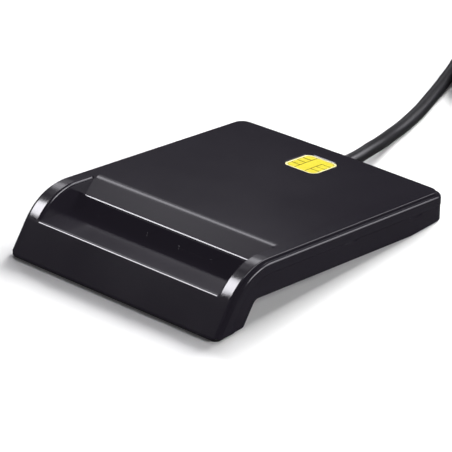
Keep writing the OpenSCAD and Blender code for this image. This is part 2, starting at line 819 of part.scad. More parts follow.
// Inside, the cord's jacket ends behind the strain relief and its four wires go on to a header
wire_d = 0.75;
wire_pitch = 0.85;
wire_l = 4;
header_w = 5;
header_l = 2.6;
header_h = 2;
flange_t = 1.2;
jacket_l = 1;
flange_y = rear_in_y - flange_t;
wire_start_y = flange_y - jacket_l;
wire_z = exit_z - 0.42 * cord_d / 2;
header_end_s = along(wire_start_y - wire_l, board_d + header_h / 2);
module wire_header() {
  color([0.93, 0.92, 0.86])
  on_deck() translate([-header_w / 2, header_end_s - header_l, -board_d - header_h])
    cube([header_w, header_l, header_h]);
}
module cord_jacket_end() {
  color([0.12, 0.12, 0.13])
  translate([0, wire_start_y, exit_z]) rotate([-90, 0, 0]) cylinder(d = cord_d, h = jacket_l);
}
wire_colours = ["firebrick", "white", "green", "black"];
module inner_wires() {
  difference() {
    for (i = [0:3]) color(wire_colours[i]) translate([(i - 1.5) * wire_pitch, wire_start_y, wire_z])
      rotate([90, 0, 0]) cylinder(d = wire_d, h = wire_l + over);
    on_deck() translate([-header_w / 2, header_end_s - header_l, -far]) cube([header_w, header_l, 2 * far]);
  }
}

// The strain relief is clamped between the shells by the flange behind the rear wall
module strain_relief() {
  flange_w = 3.2 * relief_r;
  flange_low = rear_floor_z + loose;
  flange_high = under_deck(rear_in_s, wall_t)[1] - loose;
  fit_r = relief_r - loose / 2;
  color([0.08, 0.08, 0.09]) {
    translate([-flange_w / 2, flange_y, flange_low]) cube([flange_w, flange_t, flange_high - flange_low]);
    translate([0, rear_in_y, exit_z]) rotate([-90, 0, 0]) {
      cylinder(r = fit_r, h = rear_t + rear_bow);
      translate([0, 0, rear_t + rear_bow]) cylinder(r1 = fit_r, r2 = cord_d / 2 + loose / 2, h = relief_out);
    }
  }
}

// The cord's route from the strain relief, in millimetres, until it is out of sight
cord_r = cord_d / 2;
route = [
  [0, 47.1, exit_z], [0, 51, exit_z], [-0.3, 54.5, exit_z], [-0.8, 58, 3.8], [-1.5, 62, 3.45],
  [-2.6, 66, 2.9], [-3.8, 70, 2.35], [-4.8, 74, 2], [-5.6, 78, cord_r], [-6.5, 82, cord_r],
  [-7.5, 86, cord_r], [-8.6, 90, cord_r], [-9.9, 94, cord_r], [-11.3, 98, cord_r],
  [-13, 103, cord_r], [-14.8, 108, cord_r], [-16.7, 113, cord_r], [-18.5, 118, 2.1]
];

// The coil spirals in and out again, and climbs a layer in the half turn where it reverses
coil_c = [8.5, 138];
coil_from = 193;
coil_mid_r = 6 * cord_d;
coil_pitch = cord_d + coil_gap;
coil_in = coil_turns / 2;
coil_out_r = coil_mid_r + coil_in * coil_pitch / 2;
coil_steps = 24;
// The strap that ties the coil passes under it
tie_t = 0.5;
coil_low = cord_r + tie_t + loose;
function ease(t) = let (u = min(max(t, 0), 1)) u * u * (3 - 2 * u);
function coil_radius(n) = coil_out_r - coil_pitch * (coil_in - abs(n - coil_in));
function coil_point(n) =
  let (a = coil_from - 360 * n, r = coil_radius(n))
  [coil_c[0] + r * cos(a), coil_c[1] + r * sin(a), coil_low + coil_pitch * ease(2 * (n - coil_in) + 0.5)];
function unit(v) = v / norm(v);
turn_step = 1 / coil_steps;
coil_start_dir = unit(coil_point(turn_step / 8) - coil_point(0));
coil_end_dir = unit(coil_point(coil_turns) - coil_point(coil_turns - turn_step / 8));
coil_loops = [for (i = [0 : coil_steps * coil_turns]) coil_point(i * turn_step)];
coil_path = concat(
  [coil_point(0) - coil_start_dir * cord_d],
  coil_loops,
  [coil_point(coil_turns) + coil_end_dir * cord_d]
);
coil_start = coil_path[0];
coil_end = coil_path[len(coil_path) - 1];

// The least gap between turns: points half a turn or more apart, less one diameter
coil_self = min([for (i = [1 : len(coil_loops) - 1]) for (j = [i + coil_steps / 2 : 1 : len(coil_loops) - 1])
  norm(coil_loops[i] - coil_loops[j])]);
echo(least_gap_in_the_coil = coil_self - cord_d);

run_path = concat(route, [coil_start - coil_start_dir * cord_d, coil_start]);

// The tail drops from the top layer to the plug
plug_dir = [coil_end_dir[0], coil_end_dir[1], 0];
plug_turn = atan2(plug_dir[0], -plug_dir[1]);
plug_z = grip_h / 2;
tail_steps = [5, 10, 15, 20];
tail_l = 26;
tail_path = concat(
  [coil_end, coil_end + plug_dir * cord_d],
  [for (t = tail_steps) let (u = ease(t / tail_l), z = coil_end[2] + u * (plug_z - coil_end[2]))
    [coil_end[0], coil_end[1], z] + plug_dir * (cord_d + t * (1 - 2 * cord_d / tail_l))],
  [for (e = [tail_l - cord_d, tail_l]) [coil_end[0], coil_end[1], plug_z] + plug_dir * e]
);
plug_start = tail_path[len(tail_path) - 1];

// A closed tube of n sides swept along points
module tube(path, r, n) {
  last = len(path) - 1;
  dirs = [for (i = [0 : last]) unit(path[min(i + 1, last)] - path[max(i - 1, 0)])];
  rings = [for (i = [0 : last]) let (
    side_dir = unit(cross([0, 0, 1], dirs[i])),
    up_dir = cross(dirs[i], side_dir)
  ) for (k = [0 : n - 1]) let (a = 360 * (k + 0.5) / n)
    path[i] + r * (cos(a) * side_dir + sin(a) * up_dir)];
  walls = [for (i = [0 : last - 1], k = [0 : n - 1]) let (
    a = i * n + k, b = i * n + (k + 1) % n
  ) each [[a, b + n, b], [a, a + n, b + n]]];
  start = [for (k = [1 : n - 2]) [0, k, k + 1]];
  end = [for (k = [1 : n - 2]) [last * n, last * n + k + 1, last * n + k]];
  polyhedron(points = rings, faces = concat(walls, start, end));
}

module cable_run() {
  color([0.1, 0.1, 0.11]) tube(run_path, cord_r, 8);
}
module cable_coil() {
  color([0.1, 0.1, 0.11]) tube(coil_path, cord_r, 6);
}
module cable_tail() {
  color([0.1, 0.1, 0.11]) tube(tail_path, cord_r, 8);
}

// A flat strap looped round the stacked turns, opposite the place where they climb
tie_w = 4;
tie_slack = 0.3;
tie_turn = coil_in - 0.5;
tie_at = coil_from - 360 * tie_turn;
module cable_tie() {
  outer = coil_out_r - (tie_turn - floor(tie_turn)) * coil_pitch + cord_r + tie_slack;
  inner = coil_out_r - tie_turn * coil_pitch - cord_r - tie_slack;
  stack_h = coil_pitch + cord_d + 2 * loose;
  color([0.15, 0.15, 0.15])
  translate([coil_c[0], coil_c[1], 0]) rotate([0, 0, tie_at]) difference() {
    translate([inner - tie_t, -tie_w / 2, 0])
      cube([outer - inner + 2 * tie_t, tie_w, stack_h + 2 * tie_t]);
    translate([inner, -tie_w, tie_t]) cube([outer - inner, 2 * tie_w, stack_h]);
  }
}

// The plug's own frame: the cord comes in at the origin and the plug points along -Y
module at_plug() {
  translate(plug_start) rotate([0, 0, plug_turn]) children();
}

grip_r = 2.2;
module plug_grip() {
  color([0.09, 0.09, 0.1])
  at_plug() difference() {
    union() {
      translate([0, -neck_l - grip_l / 2, 0]) linear_extrude(height = grip_h, center = true)
        badge_2d(grip_w, grip_l, grip_r);
      rotate([90, 0, 0]) cylinder(d1 = cord_d + 2 * relief_t, d2 = grip_h * 0.8, h = neck_l + over);
    }
    for (s = [-1, 1], i = [0:3]) translate([s * grip_w / 2, -neck_l - 0.4 * grip_l - i * grip_rib_pitch, 0])
      cylinder(d = grip_rib_pitch / 2, h = grip_h + over, center = true);
    translate([0, -neck_l - grip_l, 0]) cube([plug_w, 2 * plug_seat, plug_h], center = true);
  }
}
neck_l = 7;
grip_rib_pitch = 2.2;
plug_seat = 4;

plug_metal = 0.35;
module plug_shell() {
  len = plug_l + plug_seat;
  color([0.78, 0.78, 0.8])
  at_plug() translate([0, -neck_l - grip_l + plug_seat - len / 2, 0]) difference() {
    cube([plug_w, len, plug_h], center = true);
    translate([0, -plug_metal, 0])
      cube([plug_w - 2 * plug_metal, len, plug_h - 2 * plug_metal], center = true);
    for (x = [-1, 1], z = [-1, 1]) translate([x * plug_w / 5, -len / 2 + plug_l * 0.45, z * plug_h / 2])
      cube([plug_w / 6, plug_w / 6, plug_h / 3], center = true);
  }
}

tongue_h = 1.9;
plug_tongue_l = 9.2;
module plug_tongue() {
  w = plug_w - 2 * plug_metal;
  z0 = plug_h / 2 - plug_metal;
  back = neck_l + grip_l - plug_seat + plug_metal;
  color([0.93, 0.93, 0.93])
  at_plug() translate([-w / 2, -back - plug_seat - plug_tongue_l, z0 - tongue_h])
    cube([w, plug_tongue_l + plug_seat, tongue_h]);
}

// Centres of the plug's contacts across it, as shares of its width
pin_x_shares = [-0.29, -0.083, 0.083, 0.29];
pin_t = 0.15;
module plug_contacts() {
  z0 = plug_h / 2 - plug_metal - tongue_h;
  front = neck_l + grip_l + plug_metal + plug_tongue_l;
  pin_w = plug_w / 12;
  color([0.86, 0.7, 0.35])
  at_plug() for (share = pin_x_shares)
    translate([share * plug_w - pin_w / 2, -front + pin_w, z0 - pin_t])
    cube([pin_w, 0.75 * plug_tongue_l, pin_t]);
}

upper_shell();
lower_shell();
chip_emblem();
front_sole();
rear_feet();
case_screws();
circuit_board();
board_screws();
connector_housing();
contact_row_front();
contact_row_rear();
contact_tails();
detect_lever();
detect_contact();
controller_chip();
crystal();
capacitors();
status_led();
wire_header();
inner_wires();
cord_jacket_end();
strain_relief();
cable_run();
cable_coil();
cable_tail();
cable_tie();
plug_grip();
plug_shell();
plug_tongue();
plug_contacts();
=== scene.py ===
import math
import bpy
import bmesh
from mathutils import Matrix, Vector


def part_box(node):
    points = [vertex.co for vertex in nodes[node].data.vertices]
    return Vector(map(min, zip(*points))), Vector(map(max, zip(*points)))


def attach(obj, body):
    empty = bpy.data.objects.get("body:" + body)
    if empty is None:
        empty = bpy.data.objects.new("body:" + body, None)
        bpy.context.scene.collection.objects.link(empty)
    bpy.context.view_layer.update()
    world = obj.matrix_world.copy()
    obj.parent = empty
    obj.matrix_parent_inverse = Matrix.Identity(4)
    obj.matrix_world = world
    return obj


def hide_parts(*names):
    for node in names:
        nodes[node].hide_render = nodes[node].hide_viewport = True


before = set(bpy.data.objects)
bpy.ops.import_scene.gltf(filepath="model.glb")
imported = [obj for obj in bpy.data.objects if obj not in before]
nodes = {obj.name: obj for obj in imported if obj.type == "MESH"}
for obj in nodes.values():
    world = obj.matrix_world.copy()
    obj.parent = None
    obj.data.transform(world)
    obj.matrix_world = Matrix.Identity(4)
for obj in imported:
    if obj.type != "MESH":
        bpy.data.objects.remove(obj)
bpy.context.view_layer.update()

mm = 0.001
scene = bpy.context.scene
scene.view_settings.view_transform = "Standard"

# camera, at the photograph's angle
cameraSetup = {
    "place": (0.404756, -0.46429, 0.312554),
    "right": (0.75243, 0.65867, 0.0),
    "up": (-0.29595, 0.33808, 0.89337),
    "lens": 216.147,
    "sensor": 36.0,
    "clip": (0.01, 20.0),
}


def makeCamera(setup):
    right = Vector(setup["right"]).normalized()
    back = right.cross(Vector(setup["up"]).normalized()).normalized()
    data = bpy.data.cameras.new("camera")
    data.lens, data.sensor_width = setup["lens"], setup["sensor"]
    data.clip_start, data.clip_end = setup["clip"]
    camera = bpy.data.objects.new("camera", data)
    turn = Matrix((right, back.cross(right), back)).transposed().to_4x4()
    camera.matrix_world = Matrix.Translation(setup["place"]) @ turn
    scene.collection.objects.link(camera)
    scene.camera = camera


makeCamera(cameraSetup)
print("camera placed")


# helpers for meshes
def addObject(name, mesh):
    thing = bpy.data.objects.new(name, mesh)
    scene.collection.objects.link(thing)
    return thing


def meshObject(name, points, faces, scale=mm, edges=()):
    mesh = bpy.data.meshes.new(name)
    mesh.from_pydata([tuple(c * scale for c in p) for p in points], edges, faces)
    mesh.validate()
    return addObject(name, mesh)


def copyOf(thing, matrix):
    other = addObject(thing.name, thing.data.copy())
    other.data.transform(matrix)
    return other


def editMesh(thing, work):
    # opens the mesh of a piece, runs the work on it and writes it back
    mesh = bmesh.new()
    mesh.from_mesh(thing.data)
    work(mesh)
    mesh.to_mesh(thing.data)
    mesh.free()


def tidyNormals(thing, gap=1e-6):
    def work(mesh):
        bmesh.ops.remove_doubles(mesh, verts=mesh.verts, dist=gap)
        bmesh.ops.recalc_face_normals(mesh, faces=mesh.faces)
    editMesh(thing, work)


def closeGaps(thing):
    def work(mesh):
        bmesh.ops.holes_fill(mesh, edges=[e for e in mesh.edges if e.is_boundary])
        bmesh.ops.recalc_face_normals(mesh, faces=mesh.faces)
    editMesh(thing, work)


def bakeModifiers(thing):
    graph = bpy.context.evaluated_depsgraph_get()
    baked = bpy.data.meshes.new_from_object(thing.evaluated_get(graph))
    thing.modifiers.clear()
    old = thing.data
    thing.data = baked
    bpy.data.meshes.remove(old)


def smoothByAngle(thing, degrees=40):
    def work(mesh):
        for face in mesh.faces:
            face.smooth = True
        for edge in mesh.edges:
            soft = len(edge.link_faces) == 2 and edge.calc_face_angle(0) < math.radians(degrees)
            edge.smooth = soft
    editMesh(thing, work)
    even = thing.modifiers.new("even", "WEIGHTED_NORMAL")
    even.keep_sharp = True
    even.weight = 90
    bakeModifiers(thing)


def breakEdges(thing, width, steps=2, angle=40, smooth=40):
    bevel = thing.modifiers.new("bevel", "BEVEL")
    bevel.width, bevel.segments = width * mm, steps
    bevel.limit_method, bevel.angle_limit = "ANGLE", math.radians(angle)
    bakeModifiers(thing)
    if smooth:
        smoothByAngle(thing, smooth)


def cutWith(thing, other, way="DIFFERENCE"):
    cut = thing.modifiers.new("cut", "BOOLEAN")
    cut.operation, cut.solver, cut.object = way, "EXACT", other
    bakeModifiers(thing)
    bpy.data.objects.remove(other)


def setMaterial(thing, material):
    thing.data.materials.clear()
    thing.data.materials.append(material)


def drop(*things):
    for thing in things:
        bpy.data.objects.remove(thing, do_unlink=True)


def joinAll(name, first, *others):
    with bpy.context.temp_override(active_object=first, selected_editable_objects=[first, *others]):
        bpy.ops.object.join()
    first.name = name
    return first


def arcSteps(cx, cy, r, start, end, steps):
    turns = [math.radians(start + (end - start) * i / steps) for i in range(steps + 1)]
    return [(cx + r * math.cos(a), cy + r * math.sin(a)) for a in turns]


def fromRings(name, rings, closed=False):
    # a skin over rings of points, with flat ends unless the last ring meets the first
    n, count = len(rings[0]), len(rings)
    faces = [] if closed else [tuple(range(n)), tuple(range((count - 1) * n, count * n))]
    for i in range(count if closed else count - 1):
        a, b = i * n, (i + 1) % count * n
        faces += [(a + k, a + (k + 1) % n, b + (k + 1) % n, b + k) for k in range(n)]
    thing = meshObject(name, [p for ring in rings for p in ring], faces)
    tidyNormals(thing)
    return thing


def prism(name, outline, low, high):
    # a side view outline in (y, z), drawn out across from x = low to x = high
    return fromRings(name, [[(x, y, z) for y, z in outline] for x in (low, high)])


def block(name, low, high, edge=0.0, steps=2):
    x0, y0, z0 = low
    x1, y1, z1 = high
    thing = prism(name, [(y0, z0), (y1, z0), (y1, z1), (y0, z1)], x0, x1)
    if edge:
        breakEdges(thing, edge, steps)
    return thing


def lathe(name, profile, steps=28):
    # turns a profile of (radius, height) pairs round the upright axis
    turns = [2 * math.pi * k / steps for k in range(steps)]
    return fromRings(name, [[(r * math.cos(a), r * math.sin(a), z) for a in turns] for r, z in profile])


def strip(name, line, widths, thick):
    # a sheet metal strip along a line of (along, up) points
    rings = []
    for i, (a, b) in enumerate(line):
        way = (Vector(line[min(i + 1, len(line) - 1)]) - Vector(line[max(i - 1, 0)])).normalized()
        side = Vector((-way.y, way.x)) * thick / 2
        rings.append([(w * widths[i] / 2, a + side.x * k, b + side.y * k)
                      for w, k in ((-1, 1), (1, 1), (1, -1), (-1, -1))])
    return fromRings(name, rings)


def badgeOutline(width, length, r, steps=8):
    # a rectangle with round corners
    out = []
    for cx, cy, start in ((1, 1, 0), (-1, 1, 90), (-1, -1, 180), (1, -1, 270)):
        out += arcSteps(cx * (width / 2 - r), cy * (length / 2 - r), r, start, start + 90, steps)
    return out


def plate(name, outline, low, high):
    return fromRings(name, [[(x, y, z) for x, y in outline] for z in (low, high)])


# the cord's points are those of the part's source, in millimetres
cord = {
    "diameter": 3.8,
    "exitZ": 3.91,
    "exitY": 47.1,
    "route": [
        (0, 51, 3.91), (-0.3, 54.5, 3.91), (-0.8, 58, 3.8), (-1.5, 62, 3.45), (-2.6, 66, 2.9),
        (-3.8, 70, 2.35), (-4.8, 74, 2), (-5.6, 78, 1.9), (-6.5, 82, 1.9), (-7.5, 86, 1.9),
        (-8.6, 90, 1.9), (-9.9, 94, 1.9), (-11.3, 98, 1.9), (-13, 103, 1.9), (-14.8, 108, 1.9),
        (-16.7, 113, 1.9), (-18.5, 118, 2.1),
    ],
    "coilCentre": (8.5, 138),
    "coilFrom": 193,
    "coilTurns": 7.5,
    "coilPitch": 4.5,
    "coilLow": 2.5,
    "stepsPerTurn": 48,
    "tailLength": 26,
    "sides": 20,
}
grip = {"width": 15.6, "height": 8.4, "length": 24, "neck": 7, "seat": 4, "ribPitch": 2.2}
coilTurns, coilPitch, cordSize = cord["coilTurns"], cord["coilPitch"], cord["diameter"]
coilReach = 6 * cordSize + coilTurns / 2 * coilPitch / 2


def ease(t):
    u = min(max(t, 0.0), 1.0)
    return u * u * (3 - 2 * u)


def coilPoint(n):
    turnsIn = coilTurns / 2
    angle = math.radians(cord["coilFrom"] - 360 * n)
    reach = coilReach - coilPitch * (turnsIn - abs(n - turnsIn))
    height = cord["coilLow"] + coilPitch * ease(2 * (n - turnsIn) + 0.5)
    return Vector((cord["coilCentre"][0] + reach * math.cos(angle),
                   cord["coilCentre"][1] + reach * math.sin(angle), height))


def rounded(points, between=4):
    # a smooth curve through the points
    out = []
    for i in range(len(points) - 1):
        a = points[max(i - 1, 0)]
        b, c = points[i], points[i + 1]
        d = points[min(i + 2, len(points) - 1)]
        for k in range(between):
            t = k / between
            out.append(0.5 * ((2 * b) + (c - a) * t + (2 * a - 5 * b + 4 * c - d) * t * t
                              + (3 * b - a - 3 * c + d) * t ** 3))
    out.append(points[-1])
    return out


def cordPath():
    size, short = cordSize, 1 / 192
    startDir = (coilPoint(short) - coilPoint(0)).normalized()
    endDir = (coilPoint(coilTurns) - coilPoint(coilTurns - short)).normalized()
    coilStart = coilPoint(0) - startDir * size
    coilEnd = coilPoint(coilTurns) + endDir * size
    run = [Vector((0, cord["exitY"], cord["exitZ"]))] + [Vector(p) for p in cord["route"]]
    run += [coilStart - startDir * size, coilStart]
    steps = int(coilTurns * cord["stepsPerTurn"])
    loops = [coilPoint(i / cord["stepsPerTurn"]) for i in range(steps + 1)]
    flat = Vector((endDir.x, endDir.y, 0)).normalized()
    length, plugZ = cord["tailLength"], grip["height"] / 2
    tail = [coilEnd, coilEnd + flat * size]
    for t in (5, 10, 15, 20):
        base = Vector((coilEnd.x, coilEnd.y, coilEnd.z + ease(t / length) * (plugZ - coilEnd.z)))
        tail.append(base + flat * (size + t * (1 - 2 * size / length)))
    for reach in (length - size, length):
        tail.append(Vector((coilEnd.x, coilEnd.y, plugZ)) + flat * reach)
    path = rounded(run)[:-1] + [coilStart] + loops + rounded(tail)
    # the curve through the points may dip, and the cord lies on the table
    return [Vector((p.x, p.y, max(p.z, size / 2))) for p in path], flat


cordPoints, plugAim = cordPath()
plugPlace = cordPoints[-1]


# node groups
def newGroup(treeType, name, inputs, outputs):
    # inputs and outputs give each socket's kind, or a number for a value with a default
    group = bpy.data.node_groups.new(name, treeType)
    for way, sockets in (("INPUT", inputs), ("OUTPUT", outputs)):
        for label, kind in sockets.items():
            isKind = isinstance(kind, str)
            socket = group.interface.new_socket(
                name=label, in_out=way, socket_type="NodeSocket" + (kind if isKind else "Float"))
            if not isKind:
                socket.default_value = kind
    return group, group.nodes.new("NodeGroupInput"), group.nodes.new("NodeGroupOutput")


def addNodes(tree, *kinds):
    return [tree.nodes.new(kind) for kind in kinds]


def wire(tree, *links):
    for source, output, target, label in links:
        tree.links.new(source.outputs[output], target.inputs[label])


def feed(tree, socket, value):
    # a socket takes a value or another node's output
    if hasattr(value, "is_output"):
        tree.links.new(value, socket)
    else:
        socket.default_value = value


def useTree(thing, tree, values):
    piece = thing.modifiers.new(tree.name, "NODES")
    piece.node_group = tree
    for item in tree.interface.items_tree:
        if item.in_out == "INPUT" and item.name in values:
            piece[item.identifier] = values[item.name]
    bakeModifiers(thing)


def makeCordTree():
    # sweeps a round section along the edges of a mesh, with a UV map that follows the cord
    tree, given, result = newGroup(
        "GeometryNodeTree", "sweepCord",
        {"Geometry": "Geometry", "Radius": "Float", "Sides": "Int", "Material": "Material"},
        {"Geometry": "Geometry"})
    toCurve, along, around, keepAlong, keepAround, ring, sweep = addNodes(
        tree, "GeometryNodeMeshToCurve", "GeometryNodeSplineParameter", "GeometryNodeSplineParameter",
        "GeometryNodeCaptureAttribute", "GeometryNodeCaptureAttribute",
        "GeometryNodeCurvePrimitiveCircle", "GeometryNodeCurveToMesh")
    joined, store, smooth, real, paint = addNodes(
        tree, "ShaderNodeCombineXYZ", "GeometryNodeStoreNamedAttribute", "GeometryNodeSetShadeSmooth",
        "GeometryNodeRealizeInstances", "GeometryNodeSetMaterial")
    keepAlong.capture_items.new("FLOAT", "Along")
    keepAround.capture_items.new("FLOAT", "Around")
    sweep.inputs["Fill Caps"].default_value = True
    store.data_type, store.domain = "FLOAT2", "CORNER"
    store.inputs["Name"].default_value = "UVMap"
    wire(tree,
         (given, "Geometry", toCurve, "Mesh"),
         (toCurve, "Curve", keepAlong, "Geometry"),
         (along, "Length", keepAlong, "Along"),
         (given, "Sides", ring, "Resolution"),
         (given, "Radius", ring, "Radius"),
         (ring, "Curve", keepAround, "Geometry"),
         (around, "Factor", keepAround, "Around"),
         (keepAlong, "Geometry", sweep, "Curve"),
         (keepAround, "Geometry", sweep, "Profile Curve"),
         (keepAlong, "Along", joined, "X"),
         (keepAround, "Around", joined, "Y"),
         (sweep, "Mesh", store, "Geometry"),
         (joined, "Vector", store, "Value"),
         (store, "Geometry", smooth, "Geometry"),
         (smooth, "Geometry", real, "Geometry"),
         (real, "Geometry", paint, "Geometry"),
         (given, "Material", paint, "Material"),
         (paint, "Geometry", result, "Geometry"))
    return tree


def makePlaceTree():
    # puts a copy of one piece on every point of a mesh, turned and sized
    tree, given, result = newGroup(
        "GeometryNodeTree", "placeCopies",
        {"Geometry": "Geometry", "Piece": "Object", "Turn": "Vector", "Size": "Vector",
         "Material": "Material"}, {"Geometry": "Geometry"})
    info, spread, real, paint = addNodes(
        tree, "GeometryNodeObjectInfo", "GeometryNodeInstanceOnPoints",
        "GeometryNodeRealizeInstances", "GeometryNodeSetMaterial")
    wire(tree,
         (given, "Geometry", spread, "Points"),
         (given, "Piece", info, "Object"),
         (info, "Geometry", spread, "Instance"),
         (given, "Turn", spread, "Rotation"),
         (given, "Size", spread, "Scale"),
         (spread, "Instances", real, "Geometry"),
         (real, "Geometry", paint, "Geometry"),
         (given, "Material", paint, "Material"),
         (paint, "Geometry", result, "Geometry"))
    return tree


cordTree = makeCordTree()
placeTree = makePlaceTree()


def copiesAt(name, piece, places, finish, turn=(0, 0, 0), size=(1, 1, 1), keep=False):
    thing = meshObject(name, places, [])
    useTree(thing, placeTree, {"Piece": piece, "Turn": turn, "Size": size, "Material": finish.material})
    if not keep:
        drop(piece)
    return thing


def sweepAlong(name, points, radius, sides, finish):
    thing = meshObject(name, points, [], mm, [(i, i + 1) for i in range(len(points) - 1)])
    useTree(thing, cordTree, {"Radius": radius * mm, "Sides": sides, "Material": finish.material})
    return thing


def mathNode(group, kind, a, b=None):
    node = group.nodes.new("ShaderNodeMath")
    node.operation = kind
    for socket, value in zip(node.inputs, (a, b)):
        if value is not None:
            feed(group, socket, value)
    return node.outputs[0]


def noiseNode(group, scale, detail, vector, rough=0.5):
    node = group.nodes.new("ShaderNodeTexNoise")
    for label, value in (("Detail", detail), ("Roughness", rough), ("Vector", vector), ("Scale", scale)):
        feed(group, node.inputs[label], value)
    return node.outputs["Fac"]


def rangeNode(group, value, low, high, outLow=0.0, outHigh=1.0):
    node = group.nodes.new("ShaderNodeMapRange")
    for label, number in (("Value", value), ("From Min", low), ("From Max", high),
                          ("To Min", outLow), ("To Max", outHigh)):
        feed(group, node.inputs[label], number)
    return node.outputs["Result"]


def stretched(group, where, turn, scale):
    node = group.nodes.new("ShaderNodeMapping")
    node.inputs["Rotation"].default_value = turn
    node.inputs["Scale"].default_value = scale
    group.links.new(where, node.inputs["Vector"])
    return node.outputs["Vector"]


def objectPlace(group):
    return group.nodes.new("ShaderNodeTexCoord").outputs["Object"]


def makeMouldedSkin():
    # slow ripple of a moulded wall, fine grain on top, and a broad unevenness of the gloss
    group, given, result = newGroup("ShaderNodeTree", "mouldedSkin",
                                    {"Ripple Scale": 60, "Grain Scale": 2500, "Grain": 0.2},
                                    {"Height": "Float", "Patches": "Float"})
    where = objectPlace(group)
    ripple = noiseNode(group, given.outputs["Ripple Scale"], 2, where)
    grain = noiseNode(group, given.outputs["Grain Scale"], 3, where)
    fine = mathNode(group, "MULTIPLY", grain, given.outputs["Grain"])
    group.links.new(mathNode(group, "ADD", ripple, fine), result.inputs["Height"])
    patches = noiseNode(group, 45, 3, where, 0.6)
    group.links.new(rangeNode(group, patches, 0.3, 0.7), result.inputs["Patches"])
    return group


def makeDustWear():
    # sparse dust specks, and hairlines left by wiping
    group, given, result = newGroup("ShaderNodeTree", "dustWear",
                                    {"Speck Scale": 700, "Speck Size": 0.06},
                                    {"Specks": "Float", "Hairlines": "Float"})
    where = objectPlace(group)
    cells = group.nodes.new("ShaderNodeTexVoronoi")
    group.links.new(where, cells.inputs["Vector"])
    group.links.new(given.outputs["Speck Scale"], cells.inputs["Scale"])
    near = mathNode(group, "LESS_THAN", cells.outputs["Distance"], given.outputs["Speck Size"])
    rare = rangeNode(group, noiseNode(group, 160, 2, where), 0.5, 0.62)
    group.links.new(mathNode(group, "MULTIPLY", near, rare), result.inputs["Specks"])
    lines = noiseNode(group, 1, 2, stretched(group, where, (0, 0, 0.5), (60, 2600, 60)))
    group.links.new(rangeNode(group, lines, 0.62, 0.8), result.inputs["Hairlines"])
    return group


def makeDrawnMetal():
    # the fine lines of rolled or drawn metal, along one axis
    group, given, result = newGroup("ShaderNodeTree", "drawnMetal", {"Line Scale": 4000},
                                    {"Lines": "Float", "Stain": "Float"})
    where = objectPlace(group)
    along = stretched(group, where, (0, 0, 0), (1.0, 0.03, 1.0))
    group.links.new(noiseNode(group, given.outputs["Line Scale"], 3, along), result.inputs["Lines"])
    group.links.new(rangeNode(group, noiseNode(group, 500, 3, where), 0.4, 0.75), result.inputs["Stain"])
    return group


mouldedSkin = makeMouldedSkin()
dustWear = makeDustWear()
drawnMetal = makeDrawnMetal()


class Finish:
    # one Principled material; the callers link what changes over the surface
    def __init__(self, name, color, rough, metallic=0.0):
        self.material = bpy.data.materials.new(name)
        self.material.use_nodes = True
        self.tree = self.material.node_tree
        self.shader = self.tree.nodes["Principled BSDF"]
        self.set("Base Color", (*color, 1))
        self.set("Roughness", rough)
        self.set("Metallic", metallic)
        self.material.diffuse_color = (*color, 1)

    def set(self, socket, value):
        self.shader.inputs[socket].default_value = value
        return self

    def group(self, group, **values):
        node = self.tree.nodes.new("ShaderNodeGroup")
        node.node_tree = group
        for label, value in values.items():
            node.inputs[label.replace("_", " ")].default_value = value
        return node

    def blend(self, mask, colorA, colorB):
        # a colour between two, by a mask; a colour may be an output of another node
        node = self.tree.nodes.new("ShaderNodeMix")
        node.data_type = "RGBA"
        self.tree.links.new(mask, node.inputs[0])
        for socket, value in ((node.inputs[6], colorA), (node.inputs[7], colorB)):
            feed(self.tree, socket, value if hasattr(value, "is_output") else (*value, 1))
        return node.outputs[2]

    def link(self, output, socket):
        self.tree.links.new(output, self.shader.inputs[socket])

    def roughen(self, mask, low, high):
        self.link(rangeNode(self.tree, mask, 0, 1, low, high), "Roughness")

    def bump(self, height, depth, strength=1.0):
        node = self.tree.nodes.new("ShaderNodeBump")
        node.inputs["Strength"].default_value = strength
        node.inputs["Distance"].default_value = depth
        self.tree.links.new(height, node.inputs["Height"])
        self.link(node.outputs["Normal"], "Normal")


def glossPlastic(name, color, rough, level, specks=0.5, ripple=3.0e-6):
    finish = Finish(name, color, rough)
    tree = finish.tree
    skin = finish.group(mouldedSkin, Ripple_Scale=110, Grain_Scale=3000, Grain=0.03)
    wear = finish.group(dustWear, Speck_Scale=520, Speck_Size=0.035)
    dusty = tuple(min(1, c * 1.5 + specks * 0.02) for c in color)
    mask = mathNode(tree, "MULTIPLY", wear.outputs["Specks"], specks)
    deep = finish.blend(skin.outputs["Patches"], color, tuple(c * 1.25 for c in color))
    finish.link(finish.blend(mask, deep, dusty), "Base Color")
    lines = mathNode(tree, "MULTIPLY", wear.outputs["Hairlines"], 0.35)
    both = mathNode(tree, "ADD", mathNode(tree, "MULTIPLY", skin.outputs["Patches"], 0.6), lines)
    finish.roughen(both, rough * 0.85, rough * 1.2)
    finish.bump(skin.outputs["Height"], ripple)
    finish.set("Specular IOR Level", level)
    # a faint painted glow standing in for fill light, which keeps the plastic's deepest shade from full
    # black
    return finish.set("Emission Color", (0.0098, 0.0084, 0.0120, 1)).set("Emission Strength", 1.0)


def mattPlastic(name, color, rough, grainDepth=4e-6, grainScale=2200):
    finish = Finish(name, color, rough)
    skin = finish.group(mouldedSkin, Ripple_Scale=90, Grain_Scale=grainScale, Grain=1.0)
    finish.link(finish.blend(skin.outputs["Patches"], tuple(c * 0.9 for c in color),
                             tuple(min(1, c * 1.12) for c in color)), "Base Color")
    finish.roughen(skin.outputs["Patches"], rough * 0.9, min(1, rough * 1.1))
    finish.bump(skin.outputs["Height"], grainDepth)
    return finish


